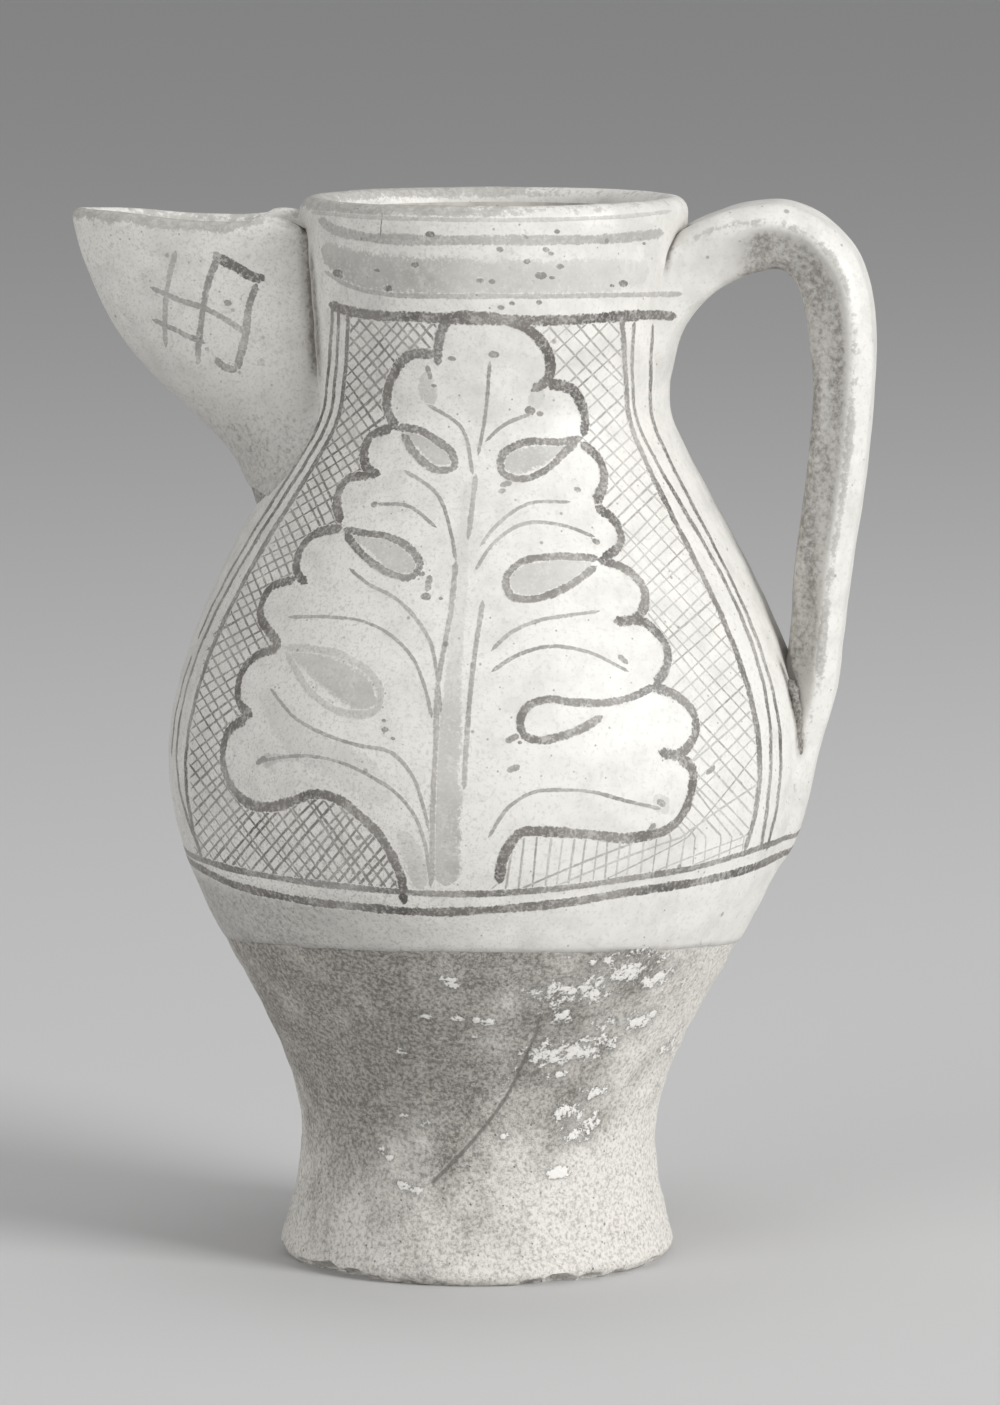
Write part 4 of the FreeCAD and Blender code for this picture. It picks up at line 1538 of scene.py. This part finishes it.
# Strokes: width in millimetres, strength and pixels
bottom_rings = [
    (2.0, 0.85, bottom_frame + [(776, 842)]),
    (2.7, 0.95, [(197, 866), (225, 881), (290, 898), (360, 907), (430, 912), (500, 909), (562, 903),
                 (629, 892), (705, 880), (756, 866), (784, 853)]),
]
neck_lines = [
    (1.2, 0.35, [(311, 212), (350, 216), (420, 219), (495, 220), (570, 219), (640, 215), (672, 211)]),
    (2.9, 0.50, [(318, 219), (335, 230), (360, 236), (420, 240), (490, 240), (560, 240), (620, 238),
                 (664, 233)]),
    (1.5, 0.45, [(324, 271), (350, 286), (386, 294), (440, 296), (500, 296), (560, 296), (620, 295),
                 (683, 294)]),
    (0.35, 0.80, [(382, 210), (382, 218), (381, 228), (381, 238)]),
]
# Dark pits that burst in the glaze: a pixel and the pit's breadth in pixels
glaze_pits = [
    (338, 273, 9), (357, 208, 4), (430, 234, 8), (415, 264, 7), (388, 288, 8), (500, 249, 6), (526, 237, 5),
    (546, 249, 6), (551, 253, 5), (557, 231, 5), (560, 266, 7), (541, 275, 10), (552, 277, 5),
    (480, 280, 7), (492, 281, 6), (623, 283, 8), (612, 285, 4), (527, 261, 6), (501, 307, 6),
    (512, 303, 5), (539, 302, 5), (452, 358, 7), (494, 354, 9), (434, 385, 5), (530, 410, 9),
    (540, 413, 6), (421, 573, 7), (426, 596, 9), (441, 598, 4), (385, 729, 6), (384, 720, 4),
    (393, 738, 4), (520, 742, 4), (644, 243, 3), (377, 270, 5),
]
neck_wash = [[(321, 250, 24, 1.0), (350, 266, 38, 1.0), (420, 276, 41, 0.9), (490, 278, 41, 0.75),
              (560, 278, 41, 0.6), (620, 275, 38, 0.4), (650, 271, 26, 0.25)]]
spout_lattice = [
    (2.7, 0.9, [(216, 257), (236, 267), (256, 278), (264, 279)]),
    (2.2, 0.85, [(257, 283), (249, 307), (246, 331), (241, 354), (236, 371)]),
    (2.3, 0.85, [(237, 371), (225, 367), (215, 358)]),
    (1.9, 0.72, [(218, 258), (209, 280), (204, 303), (201, 325), (199, 341), (198, 366)]),
    (1.7, 0.7, [(150, 287), (166, 294), (182, 301), (202, 307), (225, 319), (246, 333)]),
    (1.7, 0.7, [(152, 319), (174, 329), (190, 337), (206, 343)]),
    (1.7, 0.6, [(176, 250), (170, 274), (166, 300), (165, 330), (166, 348)]),
    (2.9, 0.9, [(259, 280), (264, 275)]),
    (2.4, 0.6, [(214, 252), (221, 260), (228, 262)]),
    (2.0, 0.7, [(224, 302), (232, 304)]),
    (1.2, 0.6, [(231, 309), (235, 311)]),
    (1.2, 0.6, [(205, 348), (209, 351)]),
    (1.2, 0.5, [(261, 337), (265, 338)]),
    (2.6, 0.35, [(257, 361), (265, 363)]),
]


# Cross-hatching between the leaf and its frame

leaf_middle_column = 475
corner_left_column = 495
corner_top_row = 838
corner_spacing = 11.5
left_spacing = 8.6
right_spacing = 11.3
hatch_step = 4.0
most_hatch_steps = 120
# Rows of the left half, and the slopes there of its two rulings in degrees
ruling_rows = (330, 560, 700, 850)
left_rulings = ((-48, -26, -35, -50), (50, 68, 60, 54))
right_rulings = (-43.0, 48.0)
corner_rulings = (-24.0, 97.0)


def joined(lobes):
    """The lobes' pixels in one row."""
    return [pixel for lobe in lobes for pixel in lobe]


leaf_edge = np.array(joined(right_lobes) + joined(left_lobes)[::-1], float)
panel_edge = np.array(left_frame + bottom_frame[1:-1] + right_frame[::-1] + top_frame[-2:0:-1], float)


def inside_edge(edge, x, y):
    """Whether a place lies inside a closed outline, by counting the sides to its right."""
    x1, y1 = edge[:, 0], edge[:, 1]
    x2, y2 = np.roll(x1, -1), np.roll(y1, -1)
    spans = (y1 > y) != (y2 > y)
    crossing = x1 + (y - y1) / np.where(spans, y2 - y1, 1) * (x2 - x1)
    return bool((spans & (crossing > x)).sum() % 2)


def in_corner(x, y):
    """Whether a place is in the cell under the right-hand lobes, which has its own ruling."""
    return y > corner_top_row and x > corner_left_column


def hatch_direction(family, x, y):
    """Which way a hatching line of a family runs."""
    if in_corner(x, y):
        degrees = corner_rulings[family]
    elif x < leaf_middle_column:
        degrees = np.interp(y, ruling_rows, left_rulings[family])
    else:
        degrees = right_rulings[family]
    turn = math.radians(degrees)
    return np.array([math.cos(turn), math.sin(turn)])


def hatch_spacing(x, y):
    """How many pixels apart the lines of one family are."""
    if in_corner(x, y):
        return corner_spacing
    return left_spacing if x < leaf_middle_column else right_spacing


def hatch_line(start, family, sign, sway, bend):
    """Follows one line from the frame until it meets the leaf or leaves the panel."""
    place = start
    line = [start]
    for count in range(most_hatch_steps):
        swung = sway + bend * count
        turn = np.array([[math.cos(swung), -math.sin(swung)], [math.sin(swung), math.cos(swung)]])
        place = place + turn @ hatch_direction(family, *place) * sign * hatch_step
        line.append(place)
        if inside_edge(leaf_edge, *place):
            return line, True
        if not inside_edge(panel_edge, *place):
            return line, False
    return line, False


def hatch_stroke(chance, start, family, sign):
    """One hatching line with its breadth and tone, or None where it has no room."""
    probe = start + hatch_direction(family, *start) * sign * 3
    if not inside_edge(panel_edge, *probe) or inside_edge(leaf_edge, *probe):
        return None
    line, on_leaf = hatch_line(start, family, sign, chance.normal(0, 0.024), chance.normal(0, 0.0016))
    if len(line) <= 3 or not (on_leaf or sign > 0):
        return None
    on_right = start[0] > leaf_middle_column
    tone = chance.uniform(0.32, 0.66) if on_right else chance.uniform(0.65, 0.95)
    breadth = hatch_width * chance.uniform(0.8, 1.2) * (0.80 if on_right else 1.0)
    return breadth, tone, line


def hatching():
    """All the lines of both families, as strokes, started one spacing apart round the panel's edge."""
    chance = np.random.default_rng(12)
    edge = even_path(np.vstack([panel_edge, panel_edge[:1]]), 1.0)
    strokes = []
    for family in (0, 1):
        passed = 0.0
        for first, second in zip(edge[:-1], edge[1:]):
            direction = hatch_direction(family, *first)
            side = second - first
            passed += abs(direction[0] * side[1] - direction[1] * side[0]) / hatch_spacing(*first)
            if passed < 1:
                continue
            passed = chance.uniform(-0.14, 0.14)
            found = [hatch_stroke(chance, first, family, sign) for sign in (1, -1)]
            strokes += [stroke for stroke in found if stroke]
    return strokes


jug_ground = Ground(body_coat, handle_coat, spout_coat)
body_ground = Ground(body_coat)


def paint_all():
    """All the painting, from the washes up to the frame."""
    outlines = [(outline_width, 0.95, lobe) for lobe in right_lobes + left_lobes]
    outlines += [(outline_width * 0.72, 0.85, drop) for drop in leaf_teardrops]
    outlines.append((outline_width * 0.7, 0.3, faint_teardrop))
    veins = [(vein_width, 0.64, vein) for vein in leaf_veins]
    veins += [(stalk_width, 0.58, line) for line in stalk_lines]
    veins += [(mark_width, 0.7, mark) for mark in small_marks]
    frames = [(frame_width, 0.85, left_frame), (frame_width * 1.2, 0.85, right_frame)]
    frames += [(thin_width, 0.85, line) for line in thin_frames]
    pits = []
    for x, y, size in glaze_pits:
        pits.append((size * pixel_size, 0.8, [(x - size * 0.6, y), (x + size * 0.6, y + 1)]))
    brown = (pigment_finish, "brown_pigment")
    for name, washes in (("leaf_wash", leaf_washes), ("neck_wash", neck_wash)):
        strokes = [(None, 1.0, rows) for rows in washes]
        paint_piece(name, jug_ground, strokes, wash_lift, wash_finish, "pale_wash", broad_shares)
    paint_piece("neck_lines", jug_ground, neck_lines + pits, neck_lift, *brown)
    paint_piece("hatching", jug_ground, hatching(), hatch_lift, *brown, narrow_shares)
    paint_piece("leaf_veins", jug_ground, veins, vein_lift, *brown)
    paint_piece("leaf_outline", jug_ground, outlines, outline_lift, *brown)
    paint_piece("panel_frame", body_ground, frames, frame_lift, *brown, fair=True)
    paint_piece("panel_top", jug_ground, [(outline_width, 0.95, top_frame)], ring_lift, *brown)
    paint_piece("spout_lattice", jug_ground, spout_lattice, lattice_lift, *brown)
    paint_ring("lower_rings", jug_ground, bottom_rings, ring_lift)


paint_all()


# Floor, camera and light, the last in metres

floor_reach = 24000.0
room_light = 0.35
lamp_aim = Vector((0, 0, 0.13))
# Each row: a lamp's name, place, side and power
lamps = [
    ("key", (3.6, -1.9, 1.7), 1.6, 163.0),
    ("fill", (-2.8, -3.4, 1.3), 2.8, 66.0),
    ("top", (0.0, 0.2, 2.0), 1.2, 7.0),
]


def make_floor():
    """A plain level floor that reaches past the picture from every side."""
    corners = np.array([(-1, -1, 0), (1, -1, 0), (1, 1, 0), (-1, 1, 0)]) * floor_reach
    floor = new_object("floor", corners, [(0, 1, 2, 3)])
    finish = Finish("plain_floor")
    weave = finish.grain(3.0)
    floor.data.materials.append(finish.surface(floor_grey, 0.9, finish.relief(weave, 0.02), 0.1))


def make_camera():
    """The camera that took the photograph, as far as the jug's outline tells."""
    data = bpy.data.cameras.new("camera")
    data.lens = lens_length
    data.sensor_width = sensor_side
    data.clip_start, data.clip_end = 0.1, 20.0
    camera = bpy.data.objects.new("camera", data)
    camera.matrix_world = Matrix((
        (right[0], upward[0], -forward[0], eye[0] / metre),
        (right[1], upward[1], -forward[1], eye[1] / metre),
        (right[2], upward[2], -forward[2], eye[2] / metre),
        (0, 0, 0, 1),
    ))
    bpy.context.scene.collection.objects.link(camera)
    bpy.context.scene.camera = camera


def make_lamp(name, place, side, power):
    """A soft square lamp that faces the middle of the jug."""
    data = bpy.data.lights.new(name, "AREA")
    data.size = side
    data.energy = power
    lamp = bpy.data.objects.new(name, data)
    lamp.location = place
    lamp.rotation_euler = (lamp_aim - Vector(place)).to_track_quat("-Z", "Y").to_euler()
    bpy.context.scene.collection.objects.link(lamp)


def make_light():
    """The lamps and the even light of the room."""
    for row in lamps:
        make_lamp(*row)
    world = bpy.data.worlds.new("room")
    world.use_nodes = True
    background = world.node_tree.nodes["Background"]
    background.inputs["Color"].default_value = (1.0, 1.0, 1.0, 1.0)
    background.inputs["Strength"].default_value = room_light
    bpy.context.scene.world = world
    bpy.context.scene.view_settings.view_transform = "Standard"


make_floor()
make_camera()
make_light()
